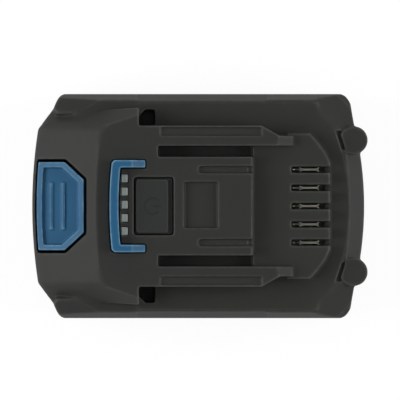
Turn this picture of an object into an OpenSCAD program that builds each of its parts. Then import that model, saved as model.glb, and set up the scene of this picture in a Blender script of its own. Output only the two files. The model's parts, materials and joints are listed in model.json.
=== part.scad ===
// Slide-on battery pack for a cordless power tool, with ten cells in two layers.
// +X is the contact end that slides into the tool, +Z is up, and the pack stands on its flat base.
// The origin is the bottom centre of the pack. All sizes are in millimetres.

/* [Cells] */
// Diameter of one cell with its sleeve
cell_d = 18.3; // [17.8:0.1:19]
// Length of one cell over its cap
cell_l = 65.2; // [64:0.1:70]
// Gap between neighbouring cells
cell_gap = 0.6; // [0.4:0.1:1.5]
// Play between a cell and its pocket
pocket_play = 0.1; // [0.05:0.05:0.3]
// Plastic left outside the outer cells in the holder
holder_skin = 1; // [0.8:0.1:2]
// Depth of each holder half along the cells
holder_depth = 14.6; // [10:0.1:20]
// Diameter of the posts that space the holder halves
post_d = 6; // [4:0.5:7]
// Diameter of the spigot that joins two posts
spigot_d = 3; // [2:0.5:3.5]
// Height of the cap on the positive end of a cell
cap_h = 0.5; // [0.4:0.1:1]
// Diameter of that cap
cap_d = 9; // [7:0.5:10]

/* [Wiring] */
// Thickness of the nickel strips
strip_t = 0.25; // [0.15:0.05:0.4]
// Width of a strip over one column of cells
strip_w = 8; // [6:0.5:9]
// Width of the tab that joins a strip to the board
tab_w = 5; // [3:0.5:6]
// Thickness of the insulating papers
paper_t = 0.25; // [0.15:0.05:0.5]
// Thickness of the foam between the papers and the case
side_pad_t = 3.6; // [2:0.1:5]
// Play between that foam and the case
pad_play = 0.2; // [0.1:0.05:0.5]
// Thickness of the foam strips under the holders
base_pad_t = 1.1; // [0.8:0.1:2]

/* [Case] */
// Thickness of the floor
floor_t = 2.4; // [2:0.1:4]
// Thickness of the side walls
side_wall = 3.1; // [2.6:0.1:4]
// Thickness of the nose wall
nose_wall = 2.2; // [1.8:0.1:3]
// Thickness of the curved rear wall
rear_wall = 3; // [2.4:0.1:4]
// Room from the nose to the cell holders, for the latch springs
nose_depth = 14.9; // [14:0.1:20]
// Room from the cell holders to the rear bumps
rear_depth = 8.6; // [8.2:0.1:12]
// Radius of the curved nose, seen from above
nose_r = 180; // [140:5:260]
// Radius of the curved rear, seen from above
rear_r = 122; // [100:1:180]
// Half width of the nose where its corners begin
nose_half = 24.5; // [22:0.5:27]
// Half width of the nose where it meets the corner guards
nose_flare = 34.9; // [33.5:0.1:36]
// Distance from the nose to the front corner guards
guard_front = 7.6; // [6:0.1:9]
// Distance from the rear guards to the rearmost wall
guard_rear = 4.9; // [4:0.1:5.2]
// How far the rear guards slant forward from the bumps to the corners
guard_slant = 1.3; // [0:0.1:2]
// How far the front guards slant back from the nose to the corners
front_slant = 1.1; // [0:0.1:2]
// Length of the rounded corners of the rear guards
corner_l = 3.4; // [2:0.1:5]
// Length of the rounded corners of the front guards
front_corner_l = 2.6; // [2:0.1:5]
// Radius of the inner corners of the lower case
inner_r = 2; // [1:0.5:4]
// Step from the decks down to the rim around them
rim_drop = 0.2; // [0:0.1:1]
// Width of the flat land on top of the rim
rim_land = 1; // [0.6:0.1:1.6]
// Width of that land behind the decks
rear_land = 0.3; // [0.2:0.1:1]
// Step from the rim down to the sloping corner guards
guard_drop = 1.6; // [1:0.1:3]
// Gap of the seam between the case halves
seam = 0.15; // [0.1:0.05:0.4]
// Depth of the side panels in the outer walls
panel_depth = 0.4; // [0.2:0.1:0.8]
// Number of grip grooves in each side panel
grip_count = 5; // [2:1:6]
// Depth of the bare label recess in the base
label_depth = 0.4; // [0.2:0.1:0.8]

/* [Top] */
// Wall of the lower decks
deck_t = 2.4; // [2:0.1:3]
// Wall of the terminal table
table_t = 1.5; // [1.2:0.1:2]
// Wall of the top plane
top_t = 2.6; // [2.2:0.1:3.5]
// Wall of the skirt inside the rim
skirt_t = 2; // [1.6:0.1:2.6]
// Room between the board and the terminal table, for the contacts
contact_room = 12.2; // [11:0.1:14]
// Step from the terminal table down to the decks around it, which the tool's blades reach into
deck_drop = 4.7; // [3.5:0.1:5.5]
// Depth of the terminal bay below the top plane
bay_depth = 5; // [4.6:0.1:7]
// Width of the band behind the upper case
rear_band = 5.4; // [4.8:0.1:6]
// Radius of the upper case's rear edge, seen from above
deck_rear_r = 75; // [65:1:95]
// Half width of the upper case beside the nose
deck_front_y = 33.4; // [32:0.1:34]
// Length of the rear corner notches
notch_l = 11.3; // [9:0.1:13]
// Half width of the upper case at these notches
notch_y = 33.2; // [32:0.1:34]
// Radius of the rear bumps
ear_r = 5; // [4.6:0.1:5.4]
// Distance of the rear bumps from the middle line
ear_y = 23.5; // [22:0.1:24.5]
// How far the bumps stand out behind the rear wall
ear_proud = 1.1; // [0.6:0.1:1.5]

/* [Nose] */
// Slope of the nose from the horizontal
slope_deg = 30; // [26:1:33]
// Distance from the nose to the crease of the slope
crease_back = 22.9; // [21.5:0.1:23.5]
// Radius of that crease, seen from above
crease_r = 260; // [200:10:400]
// Distance from the nose to the back of the front block
block_back = 38.1; // [37:0.1:40]
// Half width of the front block
block_side = 35; // [34.4:0.1:36]
// Half width of the top at the crease
facet_front_y = 27.6; // [25:0.1:28.5]
// Half width of the top at the back of the front block
facet_rear_y = 32.8; // [32:0.1:34]
// Tilt of the side facets from the vertical direction
facet_tilt = 58; // [50:0.5:62]
// Length of the deep pockets behind the front block
well_l = 5.7; // [4:0.1:7]

/* [Rails] */
// Half width of the middle platform
platform_half = 17.6; // [17.2:0.1:18]
// Half distance between the rails
rail_inner = 21.4; // [21:0.1:22]
// Half distance over the rail walls
rail_outer = 25; // [24.6:0.1:25.4]
// Half distance over the rail lips
lip_outer = 28.6; // [28:0.1:29.5]
// Thickness of the rail lips
lip_t = 4; // [3:0.1:4.5]
// Depth of the shallow recess on top of the lips
lip_recess = 0.9; // [0.3:0.1:1.2]
// Distance from the front block to the slots beside the platform
slot_back = 6.8; // [6:0.1:8]
// Length of the lips from the front block to their chamfered ends
lip_l = 43.7; // [40:0.1:45]
// Length of the lips' chamfered ends
lip_chamfer = 6.4; // [4:0.1:7]
// Length of the ramp at the end of each rail
ramp_l = 5.4; // [4:0.1:7]
// Drop of that ramp
ramp_drop = 3; // [2:0.1:4]

/* [Terminals] */
// Distance from the terminal table to the rearmost wall
table_back = 12.4; // [11.5:0.1:13]
// Length of the terminal bay in front of the table's rear edge
bay_l = 27.5; // [26:0.1:29]
// Half width of the terminal table
table_half = 25.9; // [25.6:0.1:27]
// Length of its cut rear corners
table_cut = 7.1; // [5:0.1:8]
// Length of the terminal slots
slot_l = 13.7; // [13.2:0.1:15]
// Width of the terminal slots
slot_w = 2.2; // [1.8:0.1:2.6]
// Distance between the terminal slots
slot_pitch = 6.5; // [6:0.1:7]
// Thickness of the contact leaves
leaf_t = 0.4; // [0.3:0.1:0.6]
// Gap between two leaves where they grip
leaf_grip = 0.2; // [0.1:0.1:0.8]
// Gap between two leaves at their mouth
leaf_mouth = 3; // [2.4:0.1:3.2]

/* [Latch] */
// Distance from the nose to the release button
button_front = 1.6; // [1.5:0.1:2.2]
// Length of the release button
button_l = 16.95; // [16:0.05:17.4]
// Half width of the release button
button_half = 15.75; // [14.5:0.05:16.5]
// Half width of its rear edge
button_back_half = 9.4; // [8:0.1:11]
// Length of its tapered rear end
button_taper = 6.9; // [5:0.1:8]
// How far the button stands above the slope
button_proud = 0.8; // [0.4:0.1:1.2]
// Width of the button's raised rim
button_rim = 2; // [1.6:0.1:2.6]
// Depth of the dish inside that rim
button_dish = 1.4; // [0.8:0.1:1.8]
// Wall under the dish
button_wall = 1.6; // [1.2:0.1:2]
// Slope of the dish from the horizontal, flatter than the nose
dish_deg = 16; // [14:1:30]
// Gap around the sides and back of the button
button_gap = 0.9; // [0.4:0.05:1.2]
// Gap at the front of the button
button_front_gap = 0.4; // [0.3:0.05:0.6]
// Gap around the hook
hook_gap = 0.3; // [0.25:0.05:0.5]
// Distance from the crease to the hook
hook_back = 4.8; // [4.2:0.1:5]
// Thickness of the hook's spine
hook_spine = 3.2; // [2.8:0.1:3.3]
// Half width over the hook's arms
hook_half = 16.4; // [16:0.1:17]
// Width of the hook's arms
hook_arm = 2.7; // [2.2:0.1:3]
// Length of the hook
hook_l = 12.7; // [11:0.1:14]
// Radius of the hook's spine, seen from above
hook_r = 150; // [100:1:200]
// Cut across the hook's outer corners
hook_corner = 0.9; // [0.6:0.1:2]
// Height of the hook above the top plane
hook_h = 3.6; // [2.5:0.1:4]
// Travel of the latch when the button is pressed
latch_travel = 4.5; // [3.5:0.1:4.8]
// Thickness of the plate that joins button and hook
plate_t = 2.4; // [2:0.1:3]
// Half width of that plate
plate_half = 14; // [12:0.5:15]
// Free room above the holders when the latch is down
plate_room = 1.2; // [0.8:0.1:2]
// Mean radius of the latch springs
spring_r = 2.85; // [2.5:0.05:3.2]
// Wire diameter of the latch springs
spring_wire = 0.7; // [0.5:0.05:0.9]
// Turns of each latch spring
spring_turns = 6; // [4:1:8]
// Length of the latch springs at rest
spring_l = 12.6; // [12:0.1:15]

/* [Gauge] */
// Length of the gauge button's recess
gauge_l = 14.2; // [13.5:0.1:14.6]
// Half width of the gauge button's recess
gauge_half = 10.3; // [9:0.05:10.8]
// Length of the raised face of the gauge button
gauge_face_l = 11.2; // [10:0.1:12]
// Half width of that face
gauge_face_half = 9.5; // [8:0.1:9.6]
// Travel of the gauge button
gauge_travel = 0.6; // [0.4:0.1:0.8]
// Number of gauge lamps
lamp_count = 5; // [3:1:5]
// Distance between the gauge lamps
lamp_pitch = 4.7; // [4:0.1:4.8]
// How far the row of lamps lies to the left of the middle line
lamp_shift = 0.5; // [0:0.1:0.6]
// Length of each lamp window, along the pack
window_l = 2.6; // [2:0.1:2.8]
// Width of each lamp window
window_w = 3.2; // [2.4:0.1:3.4]
// Play around the light pipe in its windows
window_play = 0.15; // [0.1:0.05:0.25]
// Thickness of the gauge board
gauge_board_t = 1.2; // [0.8:0.1:1.6]
// Depth of the platform's middle pocket
pocket_depth = 1.6; // [0.6:0.1:1.8]
// Width of the two grooves in the platform
groove_w = 2.5; // [2:0.1:3]
// Depth of these grooves
groove_depth = 1.2; // [0.4:0.1:1.6]

/* [Board] */
// Thickness of the main board
board_t = 1.6; // [1.2:0.1:2]
// Half width of the main board
board_half = 29.5; // [28.5:0.1:30]
// Height of the standoffs under the board
board_gap = 0.8; // [0.6:0.1:1.5]
// Room between the board and the split of the case
board_room = 0.7; // [0.6:0.1:1.5]

/* [Screws] */
// Thread diameter of the case screws
screw_d = 3; // [2.5:0.1:3.2]
// Head diameter of the case screws
screw_head_d = 5.5; // [5:0.1:5.6]
// Head height of the case screws
screw_head_h = 2; // [1.6:0.1:2.6]
// Length of the case screws under the head
screw_l = 16; // [14:0.5:18]
// How deep the case screws reach into the upper case
screw_grip = 4; // [3:0.1:4.8]
// Thread diameter of the board screws
board_screw_d = 2.2; // [1.8:0.1:2.5]
// Head diameter of the board screws
board_screw_head_d = 4; // [3.6:0.1:4.4]
// Length of the board screws under the head
board_screw_l = 6; // [5:0.5:7]
// Radial play of a screw in a through hole
screw_play = 0.15; // [0.1:0.05:0.3]
// Radial play of a thread in its own hole
thread_play = 0.02; // [0.01:0.01:0.05]

/* [Hidden] */
$fn = 64;
CASE = "#343532";
BLUE = "#305d7d";
STEEL = "#b9bbb8";
NICKEL = "#c8c6bd";
GREEN = "#2f5a3c";
BLACK = "#1d1e1d";
FOAM = "#5a5d5c";
FAR = 400;
CUT = 1;
FINE = 720;

COLUMNS = 5;
ROWS = 2;
CONTACTS = ["positive", "charge", "identity", "thermistor", "negative"];
BUSES = ["negative", "1", "2", "3", "4", "positive"];

// Cell stack
cell_r = cell_d / 2;
pitch = cell_d + cell_gap;
cell_edge = cell_r + pocket_play + holder_skin;
module_l = (COLUMNS - 1) * pitch + 2 * cell_edge;
module_play = 0.3;
end_y = cell_l / 2;
strip_y = end_y + strip_t;
paper_y = strip_y + paper_t;
side_pad_y = paper_y + side_pad_t;

// Overall box
pack_l = nose_depth + module_l + rear_depth;
half_w = side_pad_y + pad_play + side_wall;
nose_x = -pack_l / 2;
tail_x = pack_l / 2;
rear_x = tail_x - ear_proud;
module_x0 = nose_x + nose_depth;
module_x1 = module_x0 + module_l;
guard_front_x = nose_x + guard_front;
guard_rear_x = rear_x - guard_rear;
inner_half = half_w - side_wall;

// Heights, stacked from the floor up
holder_z0 = floor_t + base_pad_t;
holder_z1 = holder_z0 + 2 * cell_edge + (ROWS - 1) * pitch;
board_z0 = holder_z1 + board_gap;
board_z1 = board_z0 + board_t;
split_z = board_z1 + board_room;
case_z = split_z + seam;
term_under_z = board_z1 + contact_room;
term_z = term_under_z + table_t;
deck_z = term_z - deck_drop;
rim_z = deck_z - rim_drop;
rim_rise = rim_z - split_z;
guard_z = rim_z - guard_drop;
deck_under_z = deck_z - deck_t;
top_z = term_z + bay_depth;
top_under_z = top_z - top_t;

// Places on the top
crease_x = nose_x + crease_back;
block_x = nose_x + block_back;
slot_x = block_x + slot_back;
table_x = rear_x - table_back;
platform_x = table_x - bay_l;
slot_overlap = 0.4;
rail_end_x = table_x - slot_l + slot_overlap;
lip_x = block_x + lip_l;
deck_half = inner_half;
deck_rear_x = rear_x - rear_band;
notch_x = guard_rear_x - notch_l;
notch_slope = 0.43;
ear_x = tail_x - ear_r;
ear_z = deck_z - 0.2;
ear_neck = 7.5;
neck_half = 3.4;
valley_w = 1.2;
valley_z = deck_z - 1.5;
well_z = split_z + 3;
well_floor = 1.5;
well_side = 2.5;
facet_az = 90 + atan2(facet_rear_y - facet_front_y, block_x - crease_x);
CORNER_ARC = [[0, 1], [0.27, 0.53], [0.59, 0.18], [1, 0]];
panel_back = 18.5;
foot_band = 9;
panel_front = 0.6;
panel_top = 3;
panel_x0 = block_x - panel_front;
panel_x1 = notch_x - panel_back;
REAR_GUARD_AZ = 43;
REAR_GUARD_TILT = 44;
FRONT_GUARD_AZ = 125;
FRONT_GUARD_TILT = 20;

// Latch
button_x = nose_x + button_front;
button_end_x = button_x + button_l;
plate_z0 = holder_z1 + plate_room + latch_travel;
plate_z1 = plate_z0 + plate_t;
hook_x = crease_x + hook_back;
hook_x1 = hook_x + hook_l;
hook_low = 5.4;
hook_z0 = top_under_z - hook_low;
hook_z1 = top_z + hook_h;
hook_ramp_l = 4.6;
stem_half = 10;
plate_x0 = nose_x + nose_wall + 1.6;
spring_x = plate_x0 + 5;
spring_y = 9;
spring_z0 = plate_z0 - spring_l;
spring_pin_r = spring_r - spring_wire / 2 - 0.5;
spring_pin_h = 3.2;
spring_post_r = spring_r + spring_wire / 2 + 0.9;
peg_x = button_end_x - 5.2;
peg_y = 6;
peg_r = 1.8;
peg_h = 3;
stop_gap = 0.15;
ridge_w = 1.3;
ridge_h = 0.6;
ridge_half = 8.3;
ridge_back = 4.6;
ridge_step = 4.3;
RIDGES = [button_x + ridge_back, button_x + ridge_back + ridge_step];

// Gauge
gauge_back = 8.6;
gauge_x = hook_x + gauge_back;
gauge_x1 = gauge_x + gauge_l;
gauge_play = 0.35;
gauge_face_x = gauge_x + 0.9;
gauge_step_z = top_z - 1.4;
gauge_face_z = top_z - 0.2;
flange_over = 0.95;
flange_t = 1.6;
flange_z1 = top_under_z - 0.2;
flange_z0 = flange_z1 - flange_t;
switch_x = gauge_face_x + gauge_face_l / 2;
switch_w = 6;
switch_h = 3.5;
plunger_r = 1.5;
stem_h = 1.1;
plunger_z1 = flange_z0 - stem_h - 0.1;
plunger_out = 1.1;
plunger_in = 1.3;
switch_z1 = plunger_z1 - plunger_out;
gauge_board_z1 = switch_z1 - switch_h;
gauge_board_z0 = gauge_board_z1 - gauge_board_t;
lamp_back = 5.3;
lamp_x = hook_x + lamp_back;
lamp_h = 0.7;
gauge_board_x0 = lamp_x - 1;
gauge_boss_r = 1.8;
gauge_boss_x = gauge_x1 + flange_over + gauge_boss_r + 0.3;
gauge_boss_y = 9;
gauge_board_x1 = gauge_boss_x + 2.2;
gauge_board_half = 12;
gauge_screw_d = 2;
gauge_screw_head_h = 1.2;
gauge_screw_l = 5;
pocket_x = gauge_x1 + 3.6;
pocket_l = 12.2;
pocket_half = 8.2;
pocket_shift = 0.4;
pocket_r = 0.8;
groove_x = pocket_x + 5.1;
groove_y = 12.95;
groove_notch_l = 1.6;
groove_notch_depth = 4;

// Board and terminals
board_back = 4.1;
board_x0 = hook_x + board_back;
board_x1 = table_x + 2;
board_screw_head_h = 1.5;
standoff_y = 24;
standoff_r = 2.6;
table_slot_x = table_x - slot_l;
TABLE_CORNER = [[1, 0], [0.68, 0.35], [0.24, 0.94], [0, 1.46]];
channel_w = 4.5;
channel_wall = 1;
block_half = len(CONTACTS) / 2 * slot_pitch + channel_wall / 2;
block_clear = 1.8;
block_end_x = table_x - skirt_t - block_clear;
leaf_x0 = table_slot_x + 1.9;
leaf_l = block_end_x - 0.1 - leaf_x0;
leaf_x = leaf_x0 + leaf_l / 2;
blade_z = deck_z + 0.2;
foot_t = 0.6;
post_r = 0.4;
post_back = 0.8;
post_low = 0.8;
transistor_l = 6.6;
transistor_w = 6;
transistor_t = 2.3;
transistor_step = 11;
transistor_y = 10;
leg_w = 0.8;
tab_reach = 1.6;
leg_reach = 2;
leg_t = 0.6;
shunt_l = 10;
shunt_w = 5;
shunt_t = 0.9;
chip_w = 7;
chip_t = 1.1;
SMALL_PAIRS = 6;
small_l = 2;
small_w = 1.2;
small_t = 0.8;
small_step = 4.2;
small_y = 20.5;
contact_top_gap = 0.5;

// Screws
front_screw_back = 9.8;
front_screw_x = nose_x + front_screw_back;
front_screw_y = 27.5;
rear_screw_out = 0.8;
rear_screw_x = ear_x + rear_screw_out;
column_r = 4.4;
boss_r = 3.4;
seat_z = case_z - screw_l + screw_grip;
SCREWS = [
    [front_screw_x, front_screw_y],
    [front_screw_x, -front_screw_y],
    [rear_screw_x, ear_y],
    [rear_screw_x, -ear_y]
];

function cell_x(column) = module_x0 + cell_edge + column * pitch;
function cell_z(row) = holder_z0 + cell_edge + row * pitch;
function valley_x(column) = cell_x(column) + pitch / 2;
function standoffs() = [for (c = [0, COLUMNS - 2], s = [-1, 1]) [valley_x(c), s * standoff_y]];
function contact_y(index) = (index - (len(CONTACTS) - 1) / 2) * slot_pitch;
function lamp_y(index) = lamp_shift + (index - (lamp_count - 1) / 2) * lamp_pitch;

// A box from its lowest to its highest corner
module box(low, high) {
    translate(low)
        cube(high - low);
}

// The children and their mirror image on the other side of the pack
module both_sides() {
    children();
    mirror([0, 1, 0])
        children();
}

// Everything outside a plane through a point, whose normal leans by tilt towards the azimuth
module beyond_plane(point, azimuth, tilt, inset = 0) {
    translate(point)
        rotate([0, 0, azimuth])
            rotate([0, tilt, 0])
                translate([-FAR / 2, -FAR / 2, -inset])
                    cube(FAR);
}

module rounded_rect(x0, x1, half, r) {
    translate([x0 + r, -half])
        square([x1 - x0 - 2 * r, 2 * half]);
    translate([x0, r - half])
        square([x1 - x0, 2 * (half - r)]);
    for (x = [x0 + r, x1 - r], y = [r - half, half - r])
        translate([x, y])
            circle(r);
}

// Nose seen from above, as far back as back_x: a shallow arc with two slanting corners
module nose_plan(inset, back_x) {
    run = guard_front;
    rise = nose_flare - nose_half;
    shift = inset * sqrt(run * run + rise * rise) / run;
    flare = nose_flare - shift;
    front = nose_half - shift;
    intersection() {
        translate([nose_x + nose_r, 0])
            circle(nose_r - inset, $fn = FINE);
        polygon([
            [nose_x - CUT, -front], [nose_x - CUT, front], [nose_x, front], [guard_front_x, flare],
            [module_x1, flare], [module_x1, -flare], [guard_front_x, -flare], [nose_x, -front]
        ]);
        translate([nose_x - CUT, -half_w])
            square([back_x - nose_x + CUT, 2 * half_w]);
    }
}

// Upper case seen from above, behind the nose
module deck_plan(inset) {
    side = deck_half - inset;
    front_y = deck_front_y - inset;
    notch = notch_x - inset;
    inner_y = notch_y - inset;
    tail_y = inner_y - notch_slope * (rear_x - notch_x);
    front_x = guard_front_x - 0.6 + inset;
    half = [
        [front_x, front_y], [block_x, side], [notch, side], [notch, inner_y], [rear_x, tail_y]
    ];
    intersection() {
        translate([deck_rear_x - deck_rear_r, 0])
            circle(deck_rear_r - inset, $fn = FINE);
        polygon(concat(half, [for (i = [len(half) - 1:-1:0]) [half[i][0], -half[i][1]]]));
    }
}

// Solid under the sloping nose, lowered by an amount for the inner wall
module slope_cone(lower) {
    spare = 8;
    high = top_z - lower + spare;
    low = split_z - 2 * CUT;
    tip_r = crease_r - spare / tan(slope_deg);
    translate([crease_x + crease_r, 0, low])
        cylinder(h = high - low, r1 = tip_r + (high - low) / tan(slope_deg), r2 = tip_r, $fn = FINE);
}

// Cross-section of the side walls: foot, draft and sloping rim
module side_section(inset = 0, rim_inset = 0) {
    draft = 0.8;
    foot = 2.5;
    side = half_w - inset;
    rim_y = inner_half + rim_land - rim_inset;
    half = [
        [side - draft - foot, 0], [side - draft, foot], [side, split_z - 2],
        [side, split_z], [rim_y, rim_z]
    ];
    polygon(concat(half, [for (i = [len(half) - 1:-1:0]) [-half[i][0], half[i][1]]]));
}

module along_x(x0, x1) {
    translate([x0, 0, 0])
        rotate([90, 0, 90])
            linear_extrude(x1 - x0)
                children();
}

module along_y(y0, y1) {
    translate([0, y1, 0])
        rotate([90, 0, 0])
            linear_extrude(y1 - y0)
                children();
}

// Long section of the lower case: foot and draft at both ends
module end_section() {
    draft = 1;
    foot = 3;
    polygon([
        [nose_x + draft + foot, 0], [nose_x + draft, foot], [nose_x, split_z - 2], [nose_x, rim_z],
        [rear_x, rim_z], [rear_x, split_z - 2], [rear_x - draft, foot], [rear_x - draft - foot, 0]
    ]);
}

module rear_bulge() {
    intersection() {
        translate([rear_x - rear_r, 0, 0]) {
            cylinder(r = rear_r, h = split_z, $fn = FINE);
            translate([0, 0, split_z])
                cylinder(h = rim_rise, r1 = rear_r, r2 = rear_r - rear_band + rear_land, $fn = FINE);
        }
        box([module_x1 - rear_depth, -ear_y - ear_r, 0], [rear_x, ear_y + ear_r, rim_z]);
    }
}

// Case seen from above, between the nose and the rear bulge, with slanting ends and rounded corners
module guard_plan() {
    front = [guard_front_x + front_slant, half_w];
    rear = [guard_rear_x, half_w];
    last = len(CORNER_ARC) - 1;
    half = concat(
        [[guard_front_x, nose_flare]],
        [for (p = CORNER_ARC) front + front_corner_l * [p[0], -p[1]]],
        [for (i = [last:-1:0]) rear - corner_l * CORNER_ARC[i]],
        [[guard_rear_x + guard_slant, ear_y + ear_r], [module_x1 - rear_depth, ear_y + ear_r]]
    );
    polygon(concat(half, [for (i = [len(half) - 1:-1:0]) [half[i][0], -half[i][1]]]));
}

// Both case halves together, without the nose above the split
module case_outer() {
    intersection() {
        union() {
            linear_extrude(rim_z)
                guard_plan();
            linear_extrude(split_z)
                nose_plan(0, guard_front_x + corner_l);
            rear_bulge();
        }
        along_x(nose_x, rear_x)
            side_section();
        along_y(-half_w, half_w)
            end_section();
    }
}

// What the sloping front guards take off the case
module front_bevels() {
    front_back = 2.2;
    inner_end = [guard_front_x + front_back, deck_front_y, guard_z];
    both_sides()
        beyond_plane(inner_end, FRONT_GUARD_AZ, FRONT_GUARD_TILT);
}

// What the sloping rear guards take off the case
module rear_bevels() {
    rear_back = 2.75;
    rear_side = 0.2;
    rear_up = 1;
    inner_end = [notch_x + rear_back, notch_y - rear_side, guard_z + rear_up];
    both_sides()
        beyond_plane(inner_end, REAR_GUARD_AZ, REAR_GUARD_TILT);
}

// What the shallow side panels take off the walls, and off the rim above them
module side_panels() {
    difference() {
        box([panel_x0, -FAR, foot_band], [panel_x1, FAR, split_z - panel_top]);
        along_x(nose_x, rear_x)
            side_section(panel_depth, panel_depth);
    }
    difference() {
        box([panel_x0, -FAR, case_z], [panel_x1, FAR, rim_z + CUT]);
        along_x(nose_x, rear_x)
            side_section(0, panel_depth);
    }
}

module lower_outer() {
    grip_step = (split_z - foot_band) / (grip_count + 1);
    grip_w = 1.2;
    grip_depth = 1;
    grip_end = 4;
    label_end = 16;
    label_half = 22;
    foot_h = 2;
    foot_r = ear_r - 1.5;
    difference() {
        case_outer();
        box([-FAR, -FAR, split_z], [FAR, FAR, FAR]);
        front_bevels();
        rear_bevels();
        side_panels();
        both_sides()
            for (i = [1:grip_count])
                box([panel_x0 + grip_end, half_w - grip_depth, foot_band + i * grip_step - grip_w],
                    [panel_x1 - grip_end, half_w + CUT, foot_band + i * grip_step]);
        box([module_x0 + label_end, -label_half, -CUT],
            [module_x1 - label_end, label_half, label_depth]);
    }
    both_sides()
        translate([ear_x, ear_y, 0]) {
            cylinder(h = foot_h, r1 = foot_r, r2 = ear_r);
            translate([0, 0, foot_h])
                cylinder(h = case_z - foot_h, r = ear_r);
        }
}

module lower_cavity() {
    translate([0, 0, floor_t])
        linear_extrude(split_z - floor_t + CUT) {
            rounded_rect(guard_front_x + side_wall, module_x1 + module_play, inner_half, inner_r);
            nose_plan(nose_wall, module_x0);
            intersection() {
                translate([rear_x - rear_r, 0])
                    circle(rear_r - rear_wall, $fn = FINE);
                translate([module_x1 - rear_depth, -ear_y])
                    square([2 * rear_depth, 2 * ear_y]);
            }
        }
}

module lower_case() {
    color(CASE)
        difference() {
            union() {
                difference() {
                    lower_outer();
                    lower_cavity();
                }
                difference() {
                    for (p = SCREWS)
                        translate([p[0], p[1], floor_t / 2])
                            cylinder(r = column_r, h = case_z - floor_t / 2);
                    box([module_x0 - module_play, -inner_half, floor_t],
                        [module_x1 + module_play, inner_half, rim_z]);
                    difference() {
                        box([0, -FAR, 0], [FAR, FAR, rim_z]);
                        both_sides()
                            translate([ear_x, ear_y, 0])
                                cylinder(r = ear_r - 0.1, h = rim_z);
                    }
                }
                both_sides()
                    translate([spring_x, spring_y, floor_t / 2]) {
                        cylinder(r = spring_post_r, h = spring_z0 - floor_t / 2);
                        cylinder(r = spring_pin_r, h = spring_z0 + spring_pin_h - floor_t / 2);
                    }
            }
            box([module_x0 - module_play, -inner_half, floor_t],
                [module_x1 + module_play, inner_half, split_z]);
            for (p = SCREWS)
                translate([p[0], p[1], -CUT]) {
                    cylinder(d = screw_head_d + 2 * screw_play, h = seat_z + CUT);
                    cylinder(d = screw_d + 2 * screw_play, h = case_z + 2 * CUT);
                }
        }
}

// Sloping rim and corner guards around the decks, hollow inside and lowered around the rear bumps
module rim() {
    lap = 0.5;
    difference() {
        case_outer();
        box([-FAR, -FAR, -CUT], [FAR, FAR, case_z]);
        front_bevels();
        rear_bevels();
        side_panels();
        linear_extrude(top_z) {
            deck_plan(lap);
            nose_plan(lap, guard_front_x + lap);
        }
        both_sides() {
            translate([ear_x, ear_y, valley_z])
                cylinder(r = ear_r, h = rim_z);
            box([ear_x - ear_neck, ear_y - neck_half, valley_z], [ear_x, ear_y + neck_half, rim_z + CUT]);
        }
    }
}

module ear() {
    difference() {
        translate([ear_x, ear_y, case_z])
            cylinder(r = ear_r, h = ear_z - case_z);
        translate([deck_rear_x - deck_rear_r, 0, valley_z])
            cylinder(r = deck_rear_r + valley_w, h = top_z, $fn = FINE);
    }
}

// Front block seen from above, behind the nose
module block_plan(inset) {
    front = [guard_front_x - 0.6 + inset, deck_front_y - inset];
    back = [block_x - inset, block_side - inset];
    polygon([front, back, [back[0], -back[1]], [front[0], -front[1]]]);
}

// Front block with its slope and facets, inset for the inner wall
module front_block(inset, lower, z0) {
    difference() {
        intersection() {
            translate([0, 0, z0])
                linear_extrude(top_z - lower - z0) {
                    nose_plan(inset, guard_front_x + CUT + inset);
                    block_plan(inset);
                }
            slope_cone(lower / cos(slope_deg));
        }
        both_sides()
            beyond_plane([block_x, facet_rear_y, top_z], facet_az, facet_tilt, inset);
    }
}

// Terminal table seen from above, with a tongue under the end of the platform
module table_plan(inset) {
    end = table_x - inset;
    half = table_half - inset;
    wide_x = rail_end_x - 2 + inset;
    tongue_x = platform_x - skirt_t - CUT;
    translate([tongue_x, inset - platform_half])
        square([platform_x + inset + CUT - tongue_x, 2 * (platform_half - inset)]);
    translate([platform_x + inset, inset - rail_outer])
        square([wide_x + CUT - platform_x - inset, 2 * (rail_outer - inset)]);
    corner = [for (p = TABLE_CORNER) [end - p[0] * table_cut, half - p[1] * table_cut]];
    polygon(concat(
        [[wide_x, half]], corner,
        [for (i = [len(corner) - 1:-1:0]) [corner[i][0], -corner[i][1]]], [[wide_x, -half]]
    ));
}

module rail() {
    past_drop = ramp_drop * (ramp_l + CUT) / ramp_l;
    difference() {
        box([block_x - CUT, rail_inner, deck_under_z], [rail_end_x, rail_outer, top_z]);
        along_y(0, half_w)
            polygon([
                [rail_end_x - ramp_l, top_z], [rail_end_x + CUT, top_z - past_drop],
                [rail_end_x + CUT, top_z + CUT], [rail_end_x - ramp_l, top_z + CUT]
            ]);
    }
    translate([0, 0, top_z - lip_t])
        linear_extrude(lip_t)
            polygon([
                [block_x - CUT, rail_outer - CUT], [block_x - CUT, lip_outer], [lip_x, lip_outer],
                [lip_x + lip_chamfer, rail_outer], [lip_x + lip_chamfer, rail_outer - CUT]
            ]);
}

// The part of the upper case's outline behind the front block, with a lap under that block
module rear_deck_plan(inset, lap) {
    intersection() {
        deck_plan(inset);
        translate([block_x - lap, -half_w])
            square([pack_l, 2 * half_w]);
    }
}

// Strip of deck between the front block and the rim
module side_strip() {
    sunk = skirt_t / 2;
    front_x = guard_front_x + sunk;
    translate([0, 0, case_z])
        linear_extrude(rim_z - case_z)
            polygon([
                [front_x, deck_front_y - sunk], [block_x + CUT, block_side - sunk],
                [block_x + CUT, deck_half], [front_x, deck_front_y + sunk]
            ]);
}

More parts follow.
